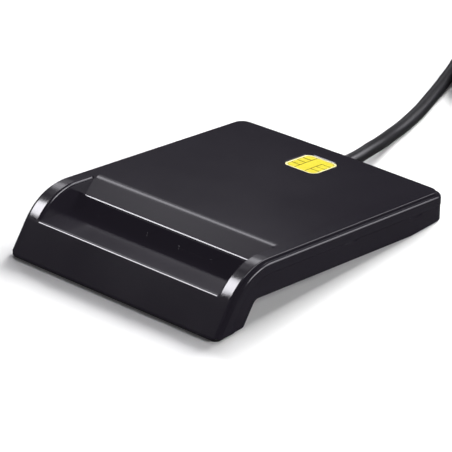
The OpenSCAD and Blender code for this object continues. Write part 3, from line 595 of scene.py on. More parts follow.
def metalFinish(name, color, rough, stain=0.15, metallic=1.0):
    finish = Finish(name, color, rough, metallic)
    lines = finish.group(drawnMetal, Line_Scale=4000)
    dull = tuple(c * (1 - stain) for c in color)
    finish.link(finish.blend(lines.outputs["Stain"], color, dull), "Base Color")
    finish.roughen(lines.outputs["Stain"], rough, rough * 1.5)
    finish.bump(lines.outputs["Lines"], 1.5e-6)
    return finish


def boardFinish(name, color, rough):
    # solder mask over tracks, with small plated holes
    finish = Finish(name, color, rough)
    tree = finish.tree
    where = objectPlace(tree)
    rows, holes = addNodes(tree, "ShaderNodeTexBrick", "ShaderNodeTexVoronoi")
    rows.inputs["Scale"].default_value = 150
    rows.inputs["Mortar Size"].default_value = 0.03
    holes.inputs["Scale"].default_value = 190
    for node in (rows, holes):
        tree.links.new(where, node.inputs["Vector"])
    some = rangeNode(tree, noiseNode(tree, 90, 2, where), 0.47, 0.5)
    tracks = mathNode(tree, "MULTIPLY", rows.outputs["Fac"], some)
    plated = mathNode(tree, "LESS_THAN", holes.outputs["Distance"], 0.07)
    green = finish.blend(tracks, (0.012, 0.15, 0.055), (0.05, 0.30, 0.12))
    finish.link(finish.blend(plated, green, (0.62, 0.62, 0.58)), "Base Color")
    finish.link(plated, "Metallic")
    finish.bump(tracks, 1.5e-5, 0.6)
    return finish


# colour, roughness, and what each kind adds
upperGloss = glossPlastic("upperGloss", (0.0046, 0.0042, 0.0058), 0.17, 0.36)
lowerGloss = glossPlastic("lowerGloss", (0.0046, 0.0042, 0.0056), 0.13, 0.3, 0.3)
soleRubber = mattPlastic("soleRubber", (0.02, 0.02, 0.02), 0.6)
footRubber = mattPlastic("footRubber", (0.03, 0.03, 0.03), 0.8, 8e-6)
screwSteel = metalFinish("screwSteel", (0.56, 0.56, 0.58), 0.3)
boardSteel = metalFinish("boardSteel", (0.6, 0.6, 0.62), 0.28)
boardLaminate = boardFinish("boardLaminate", (0.02, 0.17, 0.07), 0.3)
connectorPlastic = mattPlastic("connectorPlastic", (0.025, 0.025, 0.027), 0.5)
contactAlloy = metalFinish("contactAlloy", (0.9, 0.68, 0.3), 0.22)
tinnedTail = metalFinish("tinnedTail", (0.7, 0.7, 0.68), 0.35, 0.2)
chipResin = mattPlastic("chipResin", (0.03, 0.03, 0.035), 0.55, 6e-6, 4000)
canSteel = metalFinish("canSteel", (0.66, 0.66, 0.68), 0.25)
ceramicTan = mattPlastic("ceramicTan", (0.45, 0.33, 0.22), 0.45)
ledLens = mattPlastic("ledLens", (0.75, 0.9, 0.75), 0.2, 1e-6)
headerNylon = mattPlastic("headerNylon", (0.83, 0.82, 0.76), 0.5)
cordVinyl = mattPlastic("cordVinyl", (0.0085, 0.0085, 0.0098), 0.4, 3e-6, 1800)
reliefVinyl = mattPlastic("reliefVinyl", (0.016, 0.016, 0.018), 0.45)
gripVinyl = mattPlastic("gripVinyl", (0.02, 0.02, 0.022), 0.5, 6e-6)
plugSteel = metalFinish("plugSteel", (0.75, 0.75, 0.77), 0.2)
tongueNylon = mattPlastic("tongueNylon", (0.82, 0.82, 0.8), 0.45)
tieFabric = mattPlastic("tieFabric", (0.025, 0.025, 0.025), 0.85, 2e-5, 2600)
emblemGold = metalFinish("emblemGold", (0.93, 0.82, 0.05), 0.34, 0.06, 0.45)
grooveGold = metalFinish("grooveGold", (0.27, 0.2, 0.015), 0.5, 0.15, 0.4)
rimGold = metalFinish("rimGold", (1.0, 0.93, 0.5), 0.3, 0.15, 0.25)
print("finishes made")


def handIn(thing, node, finish=None, body="reader"):
    # the piece stands for its node, with one finish unless its parts have their own
    if finish:
        setMaterial(thing, finish.material)
    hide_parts(node)
    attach(thing, body)


usbCord = sweepAlong("usbCord", cordPoints, cordSize / 2, cord["sides"], cordVinyl)
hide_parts("cable_run", "cable_coil", "cable_tail")
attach(usbCord, "reader")
print("cord laid")

# the housing's bent form, in a side view: s runs back along the deck, d goes down into it
shell = {
    "halfWidth": 35.0, "frontY": -45.1, "rearY": 45.1, "peakZ": 15.75, "peakRun": 11.2,
    "tilt": 5.94, "lean": 53.4, "bendR": 16.0, "seamDepth": 3.6, "wall": 1.7, "side": 1.6,
    "sole": 0.7, "cornerR": 4.3, "bow": 0.45, "reveal": 1.3, "revealDepth": 0.75,
    "ledgeR": 0.8, "deckR": 0.3, "footR": 0.45, "grooveRun": 0.42, "grooveDepth": 0.26,
}
mouth = {
    "half": 29.7, "joinHalf": 31.1, "apart": 0.03,
    "shelfDepth": 7.2, "shelfBack": 4.1, "shelfTop": 7.0, "shelfUnder": 7.55, "shelfFrom": 0.8,
    "lipRun": 9.8, "lipDepth": 3.15, "bevelTop": 16.3, "underRun": 2.4, "underStep": 0.4,
    "frontEdgeR": 0.85, "bevelEdgeR": 5.0, "lipTopR": 0.9, "lipNoseR": 0.36, "lipTopTurn": 32,
    "wall": 2.76, "wallLow": (9.3, 2.2), "wallHigh": (16.9, 0.4),
    "cheekEdgeR": 1.0, "cheekOver": 0.3, "cheekLow": (9.8, 7.6), "cheekMid": 3.2, "cheekEnd": 1.2,
}
tilt, lean = math.radians(shell["tilt"]), math.radians(shell["lean"])
apex = Vector((shell["frontY"] + shell["peakRun"], shell["peakZ"]))
deckAlong, deckIn = Vector((math.cos(tilt), -math.sin(tilt))), Vector((-math.sin(tilt), -math.cos(tilt)))
frontDown, frontIn = Vector((-math.cos(lean), -math.sin(lean))), Vector((math.sin(lean), -math.cos(lean)))
bendReach = shell["bendR"] * math.tan((tilt + lean) / 2)
tiltTurn = (-tilt, 0, 0)


def underDeck(s, d):
    return apex + s * deckAlong + d * deckIn


def inward(da, db):
    # the point da under the deck and db behind the front face
    c = math.cos(tilt + lean)
    k = 1 - c * c
    return apex + deckIn * ((da - c * db) / k) + frontIn * ((db - c * da) / k)


bendCentre = inward(shell["bendR"], shell["bendR"])
bendFrom, bendTo = math.pi / 2 + lean, math.pi / 2 - tilt


def bendPoint(share, d):
    angle = bendFrom + share * (bendTo - bendFrom)
    return bendCentre + (shell["bendR"] - d) * Vector((math.cos(angle), math.sin(angle)))


def frontFoot(d):
    # where a line d behind the front face comes down to the sole
    run = (apex.y - shell["sole"] - d * math.cos(lean)) / math.sin(lean)
    return apex + run * frontDown + d * frontIn


def deckHeight(y, d):
    s = (y - apex.x + d * math.sin(tilt)) / math.cos(tilt)
    return underDeck(s, d).y


def onDeck(x, s, up):
    p = underDeck(s, -up)
    return (x, p.x, p.y)


def deckPlaces(centres):
    return [onDeck(*p) for p in centres]


def deckPrism(name, outline, centreS, low, high):
    return fromRings(name, [[onDeck(x, centreS + y, up) for x, y in outline] for up in (low, high)])


def toDeck(thing, x=0, s=0):
    # lays a piece that was made upright onto the deck's slope
    for vertex in thing.data.vertices:
        p = vertex.co / mm
        vertex.co = Vector(onDeck(p.x + x, p.y + s, p.z)) * mm


def stationsFor(inset, d, rim, frontSteps=6, bendSteps=22, deckSteps=10, cornerSteps=12, bowSteps=8):
    # one half of a line round the shell at this inset and depth, from the front foot to the rear
    half, r = shell["halfWidth"] - inset, shell["cornerR"] - inset
    bowR = ((half - r) ** 2 + shell["bow"] ** 2) / (2 * shell["bow"])
    bowY = shell["rearY"] - inset - bowR
    cornerY = bowY + math.sqrt((bowR - r) ** 2 - (half - r) ** 2)
    meet = math.atan2(cornerY - bowY, half - r)
    out = []
    foot, top = frontFoot(d), bendPoint(0, d)
    length, edge = (top - foot).length, shell["footR"] if rim else 0
    reach = [0, 0.06, 0.14, 0.26, 0.4, 0.6]
    reach += [1 + (length - 1) * i / frontSteps for i in range(frontSteps)]
    for f in reach:
        # the lower edge is rounded all round
        off = edge - math.sqrt(max(edge ** 2 - (edge - f) ** 2, 0)) if f < edge else 0
        p = foot + (top - foot) * (f / length) + frontIn * off
        out.append((half - off, p.x, p.y))
    out += [(half, *bendPoint(i / bendSteps, d)) for i in range(bendSteps)]
    startY = underDeck(bendReach, d).x
    line = [(half, startY + (cornerY - startY) * i / deckSteps) for i in range(deckSteps)]
    for i in range(cornerSteps):
        a = meet * i / cornerSteps
        line.append((half - r + r * math.cos(a), cornerY + r * math.sin(a)))
    for i in range(bowSteps):
        a = meet + (math.pi / 2 - meet) * i / bowSteps
        line.append((bowR * math.cos(a), bowY + bowR * math.sin(a)))
    return out + [(x, y, deckHeight(y, d)) for x, y in line]


def shellSkin(name, section, inner):
    # a closed bent shell: section is (inset, depth) from the seam up to the deck, inner the same inside
    rings = [stationsFor(i, d, True) for i, d in section] + [stationsFor(i, d, False) for i, d in inner]
    count, outer, total = len(rings[0]), len(section), len(rings)
    points = [(side * x, y, z) for ring in rings for x, y, z in ring for side in (1, -1)]

    def at(r, k, side):
        return 2 * (r * count + k) + (0 if side == 1 else 1)

    faces, last = [], count - 1
    for a, b in [(r, r + 1) for r in range(total - 1) if r != outer - 1] + [(0, outer)]:
        for k in range(last):
            faces += [(at(a, k, side), at(a, k + 1, side), at(b, k + 1, side), at(b, k, side))
                      for side in (1, -1)]
        faces.append((at(a, last, 1), at(a, last, -1), at(b, last, -1), at(b, last, 1)))
    for r in (outer - 1, total - 1):
        faces += [(at(r, k, 1), at(r, k + 1, 1), at(r, k + 1, -1), at(r, k, -1)) for k in range(last)]
    outside, within = range(outer), range(outer, total)
    faces.append(tuple([at(r, 0, 1) for r in outside] + [at(r, 0, -1) for r in reversed(outside)]
                       + [at(r, 0, -1) for r in within] + [at(r, 0, 1) for r in reversed(within)]))
    thing = meshObject(name, points, faces)
    tidyNormals(thing)
    return thing


def filletArc(corner, dirA, dirB, r, steps=6):
    # a rounding of radius r at a corner whose faces leave it along dirA and dirB
    half = math.acos(max(-1, min(1, dirA.dot(dirB)))) / 2
    reach = r / math.tan(half)
    centre = corner + (dirA + dirB).normalized() * (r / math.sin(half))
    a, b = corner + dirA * reach - centre, corner + dirB * reach - centre
    start, end = math.atan2(a.y, a.x), math.atan2(b.y, b.x)
    while end - start > math.pi:
        end -= 2 * math.pi
    while start - end > math.pi:
        end += 2 * math.pi
    turns = [start + (end - start) * i / steps for i in range(steps + 1)]
    return [centre + r * Vector((math.cos(a), math.sin(a))) for a in turns]


def mouthOutline():
    # the bevel runs down to a nose that is wide on top, where it catches the light, and tight below
    v = mouth
    top = underDeck(v["bevelTop"], 0)
    bevelUp = (top - underDeck(v["lipRun"], v["lipDepth"])).normalized()
    bevelAngle = math.atan2(-bevelUp.y, -bevelUp.x) % (2 * math.pi)
    stop = math.atan2(deckAlong.y, deckAlong.x) % (2 * math.pi)
    nose, here, angle = [Vector((0, 0))], Vector((0, 0)), bevelAngle
    while angle < stop - 1e-6:
        turn = min(math.radians(6), stop - angle)
        r = v["lipTopR"] if angle - bevelAngle < math.radians(v["lipTopTurn"]) else v["lipNoseR"]
        here = here + r * turn * Vector((math.cos(angle + turn / 2), math.sin(angle + turn / 2)))
        nose.append(here)
        angle += turn
    ahead = min(p.dot(deckAlong) for p in nose)
    slide = (v["bevelTop"] - v["lipRun"] + ahead) / bevelUp.dot(deckAlong)
    lipArc = [top - bevelUp * slide + p for p in nose][::-1]
    under = (lipArc[0] - apex).dot(deckIn)
    frontArc = filletArc(inward(v["shelfDepth"], 0), frontDown, deckAlong, v["frontEdgeR"])
    topArc = filletArc(top, -bevelUp, deckAlong, v["bevelEdgeR"], 10)
    back = v["lipRun"] + v["underRun"]
    outline = [frontArc[0] - frontIn * 0.5] + frontArc
    outline += [underDeck(v["lipRun"], v["shelfDepth"]), underDeck(back, under + v["underStep"])]
    outline += [underDeck(back, under)] + lipArc + topArc + [topArc[-1] - deckIn * 2, underDeck(-20, -2)]
    return [tuple(p) for p in outline], under


def cheekStrip(side):
    # what is taken off a cheek's inner edge, from the bevel round the bend
    r, half, apart = mouth["cheekEdgeR"], mouth["half"], mouth["apart"]
    turns = [math.radians(15 * i) for i in range(1, 6)]
    edge = [(half + r - r * math.cos(a), r - r * math.sin(a)) for a in turns]
    edge = [(half - apart, r + apart)] + edge + [(half + r + 0.003, -0.4), (half - apart, -0.4)]
    endTurn = math.acos((shell["bendR"] - mouth["shelfDepth"]) / (shell["bendR"] - r / 3))
    shares = [1 - (endTurn / (tilt + lean)) * (1 - i / 24) for i in range(25)]
    rings = [[(side * x, *bendPoint(share, d)) for x, d in edge] for share in shares]
    rings.append([(side * x, *underDeck(mouth["bevelTop"] - mouth["cheekEnd"], d)) for x, d in edge])
    return fromRings("cheekStrip", rings)


# small pieces take their places from the solids of the CAD nodes
def deckFrame(p):
    q = Vector((p.y, p.z)) / mm - apex
    return Vector((p.x / mm, q.dot(deckAlong), -q.dot(deckIn)))


def solidsOf(node, tilted=True):
    # the low and high corners of each solid of a node, in the deck's frame or the part's own
    work = bmesh.new()
    work.from_mesh(nodes[node].data)
    bmesh.ops.remove_doubles(work, verts=work.verts, dist=2e-7)
    left, found = set(work.verts), []
    while left:
        queue, seen = [left.pop()], []
        while queue:
            vertex = queue.pop()
            seen.append(deckFrame(vertex.co) if tilted else vertex.co / mm)
            near = {edge.other_vert(vertex) for edge in vertex.link_edges} & left
            left -= near
            queue += near
        found.append(tuple(Vector(pick(p[i] for p in seen) for i in range(3)) for pick in (min, max)))
    work.free()
    return sorted(found, key=lambda pair: (round(pair[0].y, 2), round(pair[0].x, 2)))


def middle(pair):
    return (pair[0] + pair[1]) / 2


def footOf(pair):
    return Vector((*middle(pair).xy, pair[0].z))


def deckCopies(name, piece, centres, finish, size=(1, 1, 1), keep=False):
    return copiesAt(name, piece, deckPlaces(centres), finish, tiltTurn, size, keep)


emblem = {"width": 10.6, "length": 10.8, "round": 2.0, "thick": 0.4, "sunk": 0.15, "gap": 0.1, "shelf": 0.11}
emblemMid = Vector(middle([Vector(corner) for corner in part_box("chip_emblem")]).yz) / mm
emblemS = (emblemMid - apex).dot(deckAlong)
inside = {"bossR": 2.3, "holeR": 0.85, "joint": 5.0, "root": 0.85, "ribRun": 1.4,
          "glandR": 2.45, "glandFrom": 42.75}


def emblemOutline(gap):
    return badgeOutline(emblem["width"] + 2 * gap, emblem["length"] + 2 * gap, emblem["round"] + gap)


def alongCord(thing, y=0):
    # turns a piece that was made upright to point back, at the height of the cord's exit
    turn = Matrix.Rotation(-math.pi / 2, 4, "X")
    thing.data.transform(Matrix.Translation((0, y * mm, cord["exitZ"] * mm)) @ turn)


def addInsides(thing):
    # screw bosses, the two ribs over the board, and the round hole for the strain relief
    v = inside
    cuts = ((v["bossR"], -v["joint"], -v["root"], "UNION"),
            (v["holeR"], -v["joint"] - 0.1, -shell["wall"], "DIFFERENCE"))
    for pair in solidsOf("case_screws"):
        x, s, z = middle(pair)
        for r, bottom, top, way in cuts:
            cutWith(thing, deckPrism("boss", arcSteps(x, 0, r, 0, 352.5, 47), s, bottom, top), way)
    low, high = solidsOf("circuit_board")[0]
    wide, run = (high.x - low.x) / 4, v["ribRun"]
    for side in (-1, 1):
        x0, x1 = side * wide - wide / 2, side * wide + wide / 2
        rib = [(x0, run), (x1, run), (x1, 2 * run), (x0, 2 * run)]
        cutWith(thing, deckPrism("rib", rib, low.y, high.z + 0.1, -v["root"]), "UNION")
    gland = lathe("gland", [(v["glandR"], v["glandFrom"]), (v["glandR"], 50)], 48)
    alongCord(gland)
    cutWith(thing, gland)


def addMouth(thing):
    # the shelf, the wall behind the bevel and the two cheeks, then the opening itself
    v, wall = mouth, mouth["wall"]
    outline, under = mouthOutline()

    def add(name, line, low, high):
        cutWith(thing, prism(name, [tuple(p) for p in line], low, high), "UNION")

    add("shelf", [inward(v["shelfTop"], v["shelfFrom"]), underDeck(v["shelfBack"], v["shelfTop"]),
                  underDeck(v["shelfBack"], v["shelfUnder"]), inward(v["shelfUnder"], v["shelfFrom"])],
        -v["joinHalf"], v["joinHalf"])
    (lowS, lowD), (highS, highD), apart = v["wallLow"], v["wallHigh"], v["apart"]
    add("bevelWall", [underDeck(lowS, under), underDeck(lowS, lowD), underDeck(highS, highD),
                      underDeck(highS + wall, highD), underDeck(v["lipRun"] + wall, under)],
        -v["joinHalf"], v["joinHalf"])
    cheekS, cheekD = v["cheekLow"][0] + apart + wall, v["cheekLow"][1] - apart
    line = [underDeck(cheekS, cheekD), underDeck(cheekS, v["cheekMid"] - apart),
            underDeck(highS + apart + wall, highD + apart)]
    line += [bendPoint(1 - i / 12, highD + apart) for i in range(13)] + [inward(cheekD, highD + apart)]
    for side in (1, -1):
        ends = sorted((side * (v["half"] - v["cheekOver"]), side * (v["joinHalf"] + apart)))
        add("cheek", line, *ends)
    cutWith(thing, prism("mouth", outline, -v["half"], v["half"]))
    for side in (1, -1):
        cutWith(thing, cheekStrip(side))


def makeUpperShell():
    v = shell
    seam, r1, r2, reveal = v["seamDepth"], v["ledgeR"], v["deckR"], v["reveal"]
    run, low = r1 + v["grooveRun"], v["revealDepth"] + v["grooveDepth"]
    section = [(0.3, seam - 0.04), (0.14, seam - 0.1), (0.04, seam - 0.2), (0, seam - 0.36)]
    section += [(r1 - r1 * math.cos(a), v["revealDepth"] + r1 - r1 * math.sin(a))
                for a in [math.radians(15 * i) for i in range(7)]]
    section += [(run - 0.04, low - 0.02), (run, low), (reveal - 0.01, low - 0.02), (reveal, low - 0.06)]
    section += [(reveal + r2 - r2 * math.cos(a), r2 - r2 * math.sin(a))
                for a in [math.radians(22.5 * i) for i in range(5)]]
    thing = shellSkin("upperShell", section, [(v["side"], seam - 0.04), (v["side"], v["wall"])])
    addMouth(thing)
    pocket = emblemOutline(emblem["gap"])
    cutWith(thing, deckPrism("pocket", pocket, emblemS, -emblem["sunk"] - emblem["thick"], 1))
    # the pocket's edge slopes, and the slope catches the light
    shelf = emblem["shelf"]
    cutWith(thing, fromRings("ramp", [[onDeck(x, emblemS + y, up) for x, y in emblemOutline(gap)]
                                      for gap, up in ((shelf, -shelf), (3 * shelf, shelf))]))
    addInsides(thing)
    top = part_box("upper_shell")[1][2]
    for vertex in thing.data.vertices:
        vertex.co.z = min(vertex.co.z, top)
    tidyNormals(thing, 3e-6)
    closeGaps(thing)
    smoothByAngle(thing, 32)
    return thing


upperShell = makeUpperShell()
handIn(upperShell, "upper_shell", upperGloss)
print("upper shell faces", len(upperShell.data.polygons))

# gold emblem: a plate with a pale rim, and plain pads between grooves
pads = {"rim": 0.55, "margin": 0.16, "groove": 0.4, "raise": 0.1, "columnShare": 0.31, "rows": 4,
        "edge": 0.05}


def padCells(wide, long):
    # two columns of cells with a plain field between them, which takes in the last cell on the right
    g, rows = pads["groove"] / 2, pads["rows"]
    column, row = pads["columnShare"] * wide, long / rows
    left, right, start = -wide / 2, wide / 2, -long / 2
    cells = [(left, left + column - g, start + i * row + (g if i else 0),
              start + (i + 1) * row - (g if i < rows - 1 else 0)) for i in range(rows)]
    cells += [(right - column + g, right, start + i * row + (g if i else 0), start + (i + 1) * row - g)
              for i in range(rows - 1)]
    cells.append((left + column + g, right - column - g, start, -start))
    cells.append((right - column - g - 0.01, right, -start - row + g, -start))
    return cells


def makeEmblem():
    topUp, low, rim, margin = -emblem["sunk"], -emblem["sunk"] - pads["raise"], pads["rim"], pads["margin"]

    def upTo(name, outline, bottom, top=topUp):
        return deckPrism(name, outline, emblemS, bottom, top)

    base = upTo("goldEmblem", emblemOutline(0), topUp - emblem["thick"], low)
    setMaterial(base, grooveGold.material)
    # the rim stands as high as the pads
    ring = upTo("rim", emblemOutline(0), low - 0.02)
    cutWith(ring, upTo("ringHole", emblemOutline(-rim), topUp - 1, topUp + 1))
    setMaterial(ring, rimGold.material)
    made = []
    for x0, x1, y0, y1 in padCells(*(emblem[k] - 2 * rim - 2 * margin for k in ("width", "length"))):
        cell = upTo("pad", [(x0, y0), (x1, y0), (x1, y1), (x0, y1)], low - 0.02)
        cutWith(cell, upTo("mask", emblemOutline(-rim - margin), topUp - 1, topUp + 1), "INTERSECT")
        setMaterial(cell, emblemGold.material)
        made.append(cell)
    for piece in [base, ring] + made:
        breakEdges(piece, pads["edge"], 2, 50, None)
    joinAll("goldEmblem", base, ring, *made)
    smoothByAngle(base)
    return base


handIn(makeEmblem(), "chip_emblem")
print("emblem made")

# CAD forms that are right and only need their edges broken
lower = {"edge": 0.13, "runnerR": 0.36, "runnerDepth": 7.2}


def softEdged(name, node, edge, runners=None):
    thing = addObject(name, nodes[node].data.copy())

    def onRunner(side):
        depths = [(Vector(v.co.yz) / mm - apex).dot(deckIn) for v in side.verts]
        level = all(abs(depth - runners["runnerDepth"]) < 0.02 for depth in depths)
        return level and side.is_convex and side.calc_face_angle(0) > math.radians(40)

    def work(mesh):
        bmesh.ops.remove_doubles(mesh, verts=mesh.verts, dist=2e-7)
        bmesh.ops.dissolve_limit(mesh, angle_limit=math.radians(0.6), verts=mesh.verts, edges=mesh.edges)
        if runners:
            # the runners that carry the card are rounder than the other edges
            bmesh.ops.bevel(mesh, geom=[side for side in mesh.edges if onRunner(side)],
                            offset=runners["runnerR"] * mm, offset_type="OFFSET", segments=4,
                            profile=0.5, affect="EDGES", clamp_overlap=True)

    editMesh(thing, work)
    if thing.data.has_custom_normals:
        thing.data.attributes.remove(thing.data.attributes["custom_normal"])
    breakEdges(thing, edge, 2, 28, 35)
    return thing


lowerShell = softEdged("lowerShell", "lower_shell", lower["edge"], lower)
handIn(lowerShell, "lower_shell", lowerGloss)
print("lower shell faces", len(lowerShell.data.polygons))

# sole under the foot
sole = {"inset": 0.55, "thick": 0.7, "edge": 0.16, "corner": 1.4}


def makeSole():
    low, high = (Vector(c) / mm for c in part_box("front_sole"))
    width, length = ((high - low)[i] - 2 * sole["inset"] for i in (0, 1))
    outline = [(x, y + (low.y + high.y) / 2) for x, y in badgeOutline(width, length, sole["corner"])]
    thing = plate("frontSole", outline, 0, sole["thick"])
    breakEdges(thing, sole["edge"], 3, 50)
    return thing


handIn(makeSole(), "front_sole", soleRubber)

# case screws: a domed head with a cross, and a thread that cuts its own way
screwForm = {"head": 0.72, "headR": 1.9, "shankR": 0.85, "pitch": 0.6, "slot": 0.42, "slotLong": 2.3,
             "slotDeep": 0.5}


def makeCaseScrews():
    v, solids = screwForm, solidsOf("case_screws")
    height = solids[0][1].z - solids[0][0].z
    r, head, shank = v["headR"], v["head"], v["shankR"]
    profile = [(0.001, 0), (r * 0.72, 0), (r * 0.93, 0.1), (r, 0.3),
               (r, head - 0.06), (r - 0.06, head), (shank, head)]
    z = head + 0.25
    while z < height - 1.3:
        root, crest = shank * 0.8, shank * 0.98
        profile += [(root, z), (crest, z + 0.22), (crest, z + 0.3), (root, z + 0.5)]
        z += v["pitch"]
    profile += [(shank * 0.75, z), (shank * 0.35, height - 0.1), (0.001, height)]
    screw = lathe("screw", profile)
    for a, b in ((v["slot"], v["slotLong"]), (v["slotLong"], v["slot"])):
        cutWith(screw, block("slot", (-a / 2, -b / 2, -1), (a / 2, b / 2, v["slotDeep"])))
    smoothByAngle(screw, 35)
    # the front pair is shorter, so each length has its own copies
    groups = {}
    for pair in solids:
        groups.setdefault(round(pair[1].z - pair[0].z, 1), []).append(footOf(pair))
    parts = [deckCopies("screwsOf%d" % i, screw, places, screwSteel, (1, 1, tall / height), True)
             for i, (tall, places) in enumerate(groups.items())]
    drop(screw)
    return joinAll("caseScrews", *parts)


handIn(makeCaseScrews(), "case_screws")

footForm = {"edge": 0.5, "radius": 4.0, "ring": 2.9, "ringWidth": 0.35, "ringDeep": 0.2}


def makeFeet():
    solids, v = solidsOf("rear_feet", False), footForm
    high, r, edge, ring = solids[0][1].z, v["radius"], v["edge"], v["ring"]
    profile = [(0.001, 0), (ring - v["ringWidth"], 0.02), (ring - 0.1, v["ringDeep"]),
               (ring + 0.1, v["ringDeep"]), (ring + v["ringWidth"], 0.04)]
    profile += [(r - edge + edge * math.sin(a), 0.06 + edge - edge * math.cos(a))
                for a in [math.radians(15 * i) for i in range(7)]]
    foot = lathe("foot", profile + [(r, high - 0.05), (r - 0.05, high)], 48)
    smoothByAngle(foot, 35)
    return copiesAt("rearFeet", foot, [footOf(pair) for pair in solids], footRubber)


handIn(makeFeet(), "rear_feet")

# contact springs, each a piece of its row's body
springForm = {"thick": 0.2, "rootWidth": 0.9, "crownWidth": 0.62, "crownAt": 0.835, "turnUp": 0.32}


def makeSpring(low, high):
    # root, arm, rounded crown and the end that turns up, in (along, up) from the root
    long, deep, v = high.y - low.y, high.z - low.z, springForm
    t = v["thick"] / 2
    rootUp, crownUp, crownAt = -2 * t, -deep + t, v["crownAt"] * long
    line = [(t * 1.4, rootUp + 0.05), (0.5, rootUp), (1.0, rootUp - 0.02)]
    line += [(a, rootUp + (crownUp - rootUp) * (a / crownAt) ** 1.15)
             for a in [crownAt * k / 8 for k in range(2, 8)]]
    line += [(crownAt + 0.35 * k, crownUp + 0.06 * (k * k)) for k in (-1, -0.5, 0, 0.5, 1)]
    line += [(long - t * 1.5, crownUp + v["turnUp"])]
    widths = [v["rootWidth"] - (v["rootWidth"] - v["crownWidth"]) * min(1, a / crownAt) for a, b in line]
    thing = strip("spring", line, widths, v["thick"])
    breakEdges(thing, 0.03, 1, 60)
    return thing


for node, body, name in (("contact_row_front", "front_contacts", "contactsFront"),
                         ("contact_row_rear", "rear_contacts", "contactsRear")):
    solids = solidsOf(node)
    roots = [(middle(pair).x, pair[0].y, pair[1].z) for pair in solids]
    handIn(deckCopies(name, makeSpring(*solids[0]), roots, contactAlloy), node, None, body)


def copiedBlocks(name, node, finish, edge, grow=(0, 0, 0)):
    # softly edged blocks, one on each solid of a node
    solids = solidsOf(node)
    half = (solids[0][1] - solids[0][0]) / 2 + Vector(grow)
    return deckCopies(name, block("oneBlock", -half, half, edge), [middle(pair) for pair in solids], finish)


handIn(copiedBlocks("contactTails", "contact_tails", tinnedTail, 0.05), "contact_tails")

boardScrewForm = {"head": 0.65, "rootR": 0.68, "threadR": 0.84, "pitch": 0.5, "slot": 0.44, "slotDeep": 0.3}


def makeBoardScrews():
    solids, v = solidsOf("board_screws"), boardScrewForm
    low, high = solids[0]
    tall, r, a, b = high.z - low.z, (high.x - low.x) / 2, v["rootR"], v["threadR"]
    neck = tall - v["head"]
    profile, z = [(0.001, 0), (0.5, 0.1)], 0.4
    while z < neck - 0.6:
        profile += [(a, z), (b, z + 0.2), (b, z + 0.26), (a, z + 0.42)]
        z += v["pitch"]
    profile += [(0.8, neck), (r - 0.05, neck), (r, neck + 0.06), (r, tall - 0.3),
                (r * 0.9, tall - 0.08), (r * 0.7, tall), (0.001, tall)]
    screw = lathe("screw", profile)
    cutWith(screw, block("slot", (-0.9 * r, -v["slot"] / 2, tall - v["slotDeep"]),
                         (0.9 * r, v["slot"] / 2, tall + 1)))
    smoothByAngle(screw, 35)
    return deckCopies("boardScrews", screw, [footOf(pair) for pair in solids], boardSteel)


handIn(makeBoardScrews(), "board_screws")

# capacitors: a ceramic body between two tinned ends
capForm = {"shrink": (-0.03, -0.2, -0.03), "end": 0.16, "edge": 0.04, "endEdge": 0.06}


def makeCapacitors():
    end, solids = capForm["end"], solidsOf("capacitors")
    bodies = copiedBlocks("capacitorBodies", "capacitors", ceramicTan, capForm["edge"], capForm["shrink"])
    half = (solids[0][1] - solids[0][0]) / 2
    half.y = end
    places = []
    for low, high in solids:
        x, y, z = middle((low, high))
        places += [(x, low.y + end, z), (x, high.y - end, z)]
    ends = deckCopies("capacitorEnds", block("capEnd", -half, half, capForm["endEdge"]), places, tinnedTail)
    return joinAll("capacitorSet", bodies, ends)


handIn(makeCapacitors(), "capacitors")

chipForm = {"pins": 8, "pinWidth": 0.26, "pinThick": 0.14, "inset": 0.36, "standOff": 0.08, "edge": 0.09,
            "dimpleR": 0.3, "dimpleDeep": 0.06, "dimpleIn": 1.1, "pinMargin": 0.35}


def makeChip():
    pair, v = solidsOf("controller_chip")[0], chipForm
    foot, half, tall = footOf(pair), (pair[1].x - pair[0].x) / 2, pair[1].z - pair[0].z
    side, inset = half - v["inset"], v["inset"]
    body = block("chipBody", (-side, -side, v["standOff"]), (side, side, tall), v["edge"])
    dimple = lathe("dimple", [(v["dimpleR"], tall - v["dimpleDeep"]), (v["dimpleR"], tall + 1)], 24)
    corner = -(half - v["dimpleIn"]) * mm
    dimple.data.transform(Matrix.Translation((corner, corner, 0)))
    cutWith(body, dimple)
    smoothByAngle(body)
    parts = [deckCopies("chipOnly", body, [foot], chipResin)]
    line = [(-inset - 0.12, tall * 0.5), (-inset + 0.08, tall * 0.5), (-inset + 0.18, 0.12), (0, 0.075)]
    pin = strip("pin", line, [v["pinWidth"]] * len(line), v["pinThick"])
    span = side - v["pinMargin"]
    offsets = [-span + 2 * span / (v["pins"] - 1) * i for i in range(v["pins"])]
    for angle, dx, dy in ((0, 0, 1), (180, 0, -1), (90, -1, 0), (270, 1, 0)):
        turned = copyOf(pin, Matrix.Rotation(math.radians(angle), 4, "Z"))
        centres = [foot + Vector((dx * half + abs(dy) * o, dy * half + abs(dx) * o, 0)) for o in offsets]
        parts.append(deckCopies("pinsAt%d" % angle, turned, centres, tinnedTail))
    drop(pin)
    return joinAll("controllerChip", *parts)


handIn(makeChip(), "controller_chip")

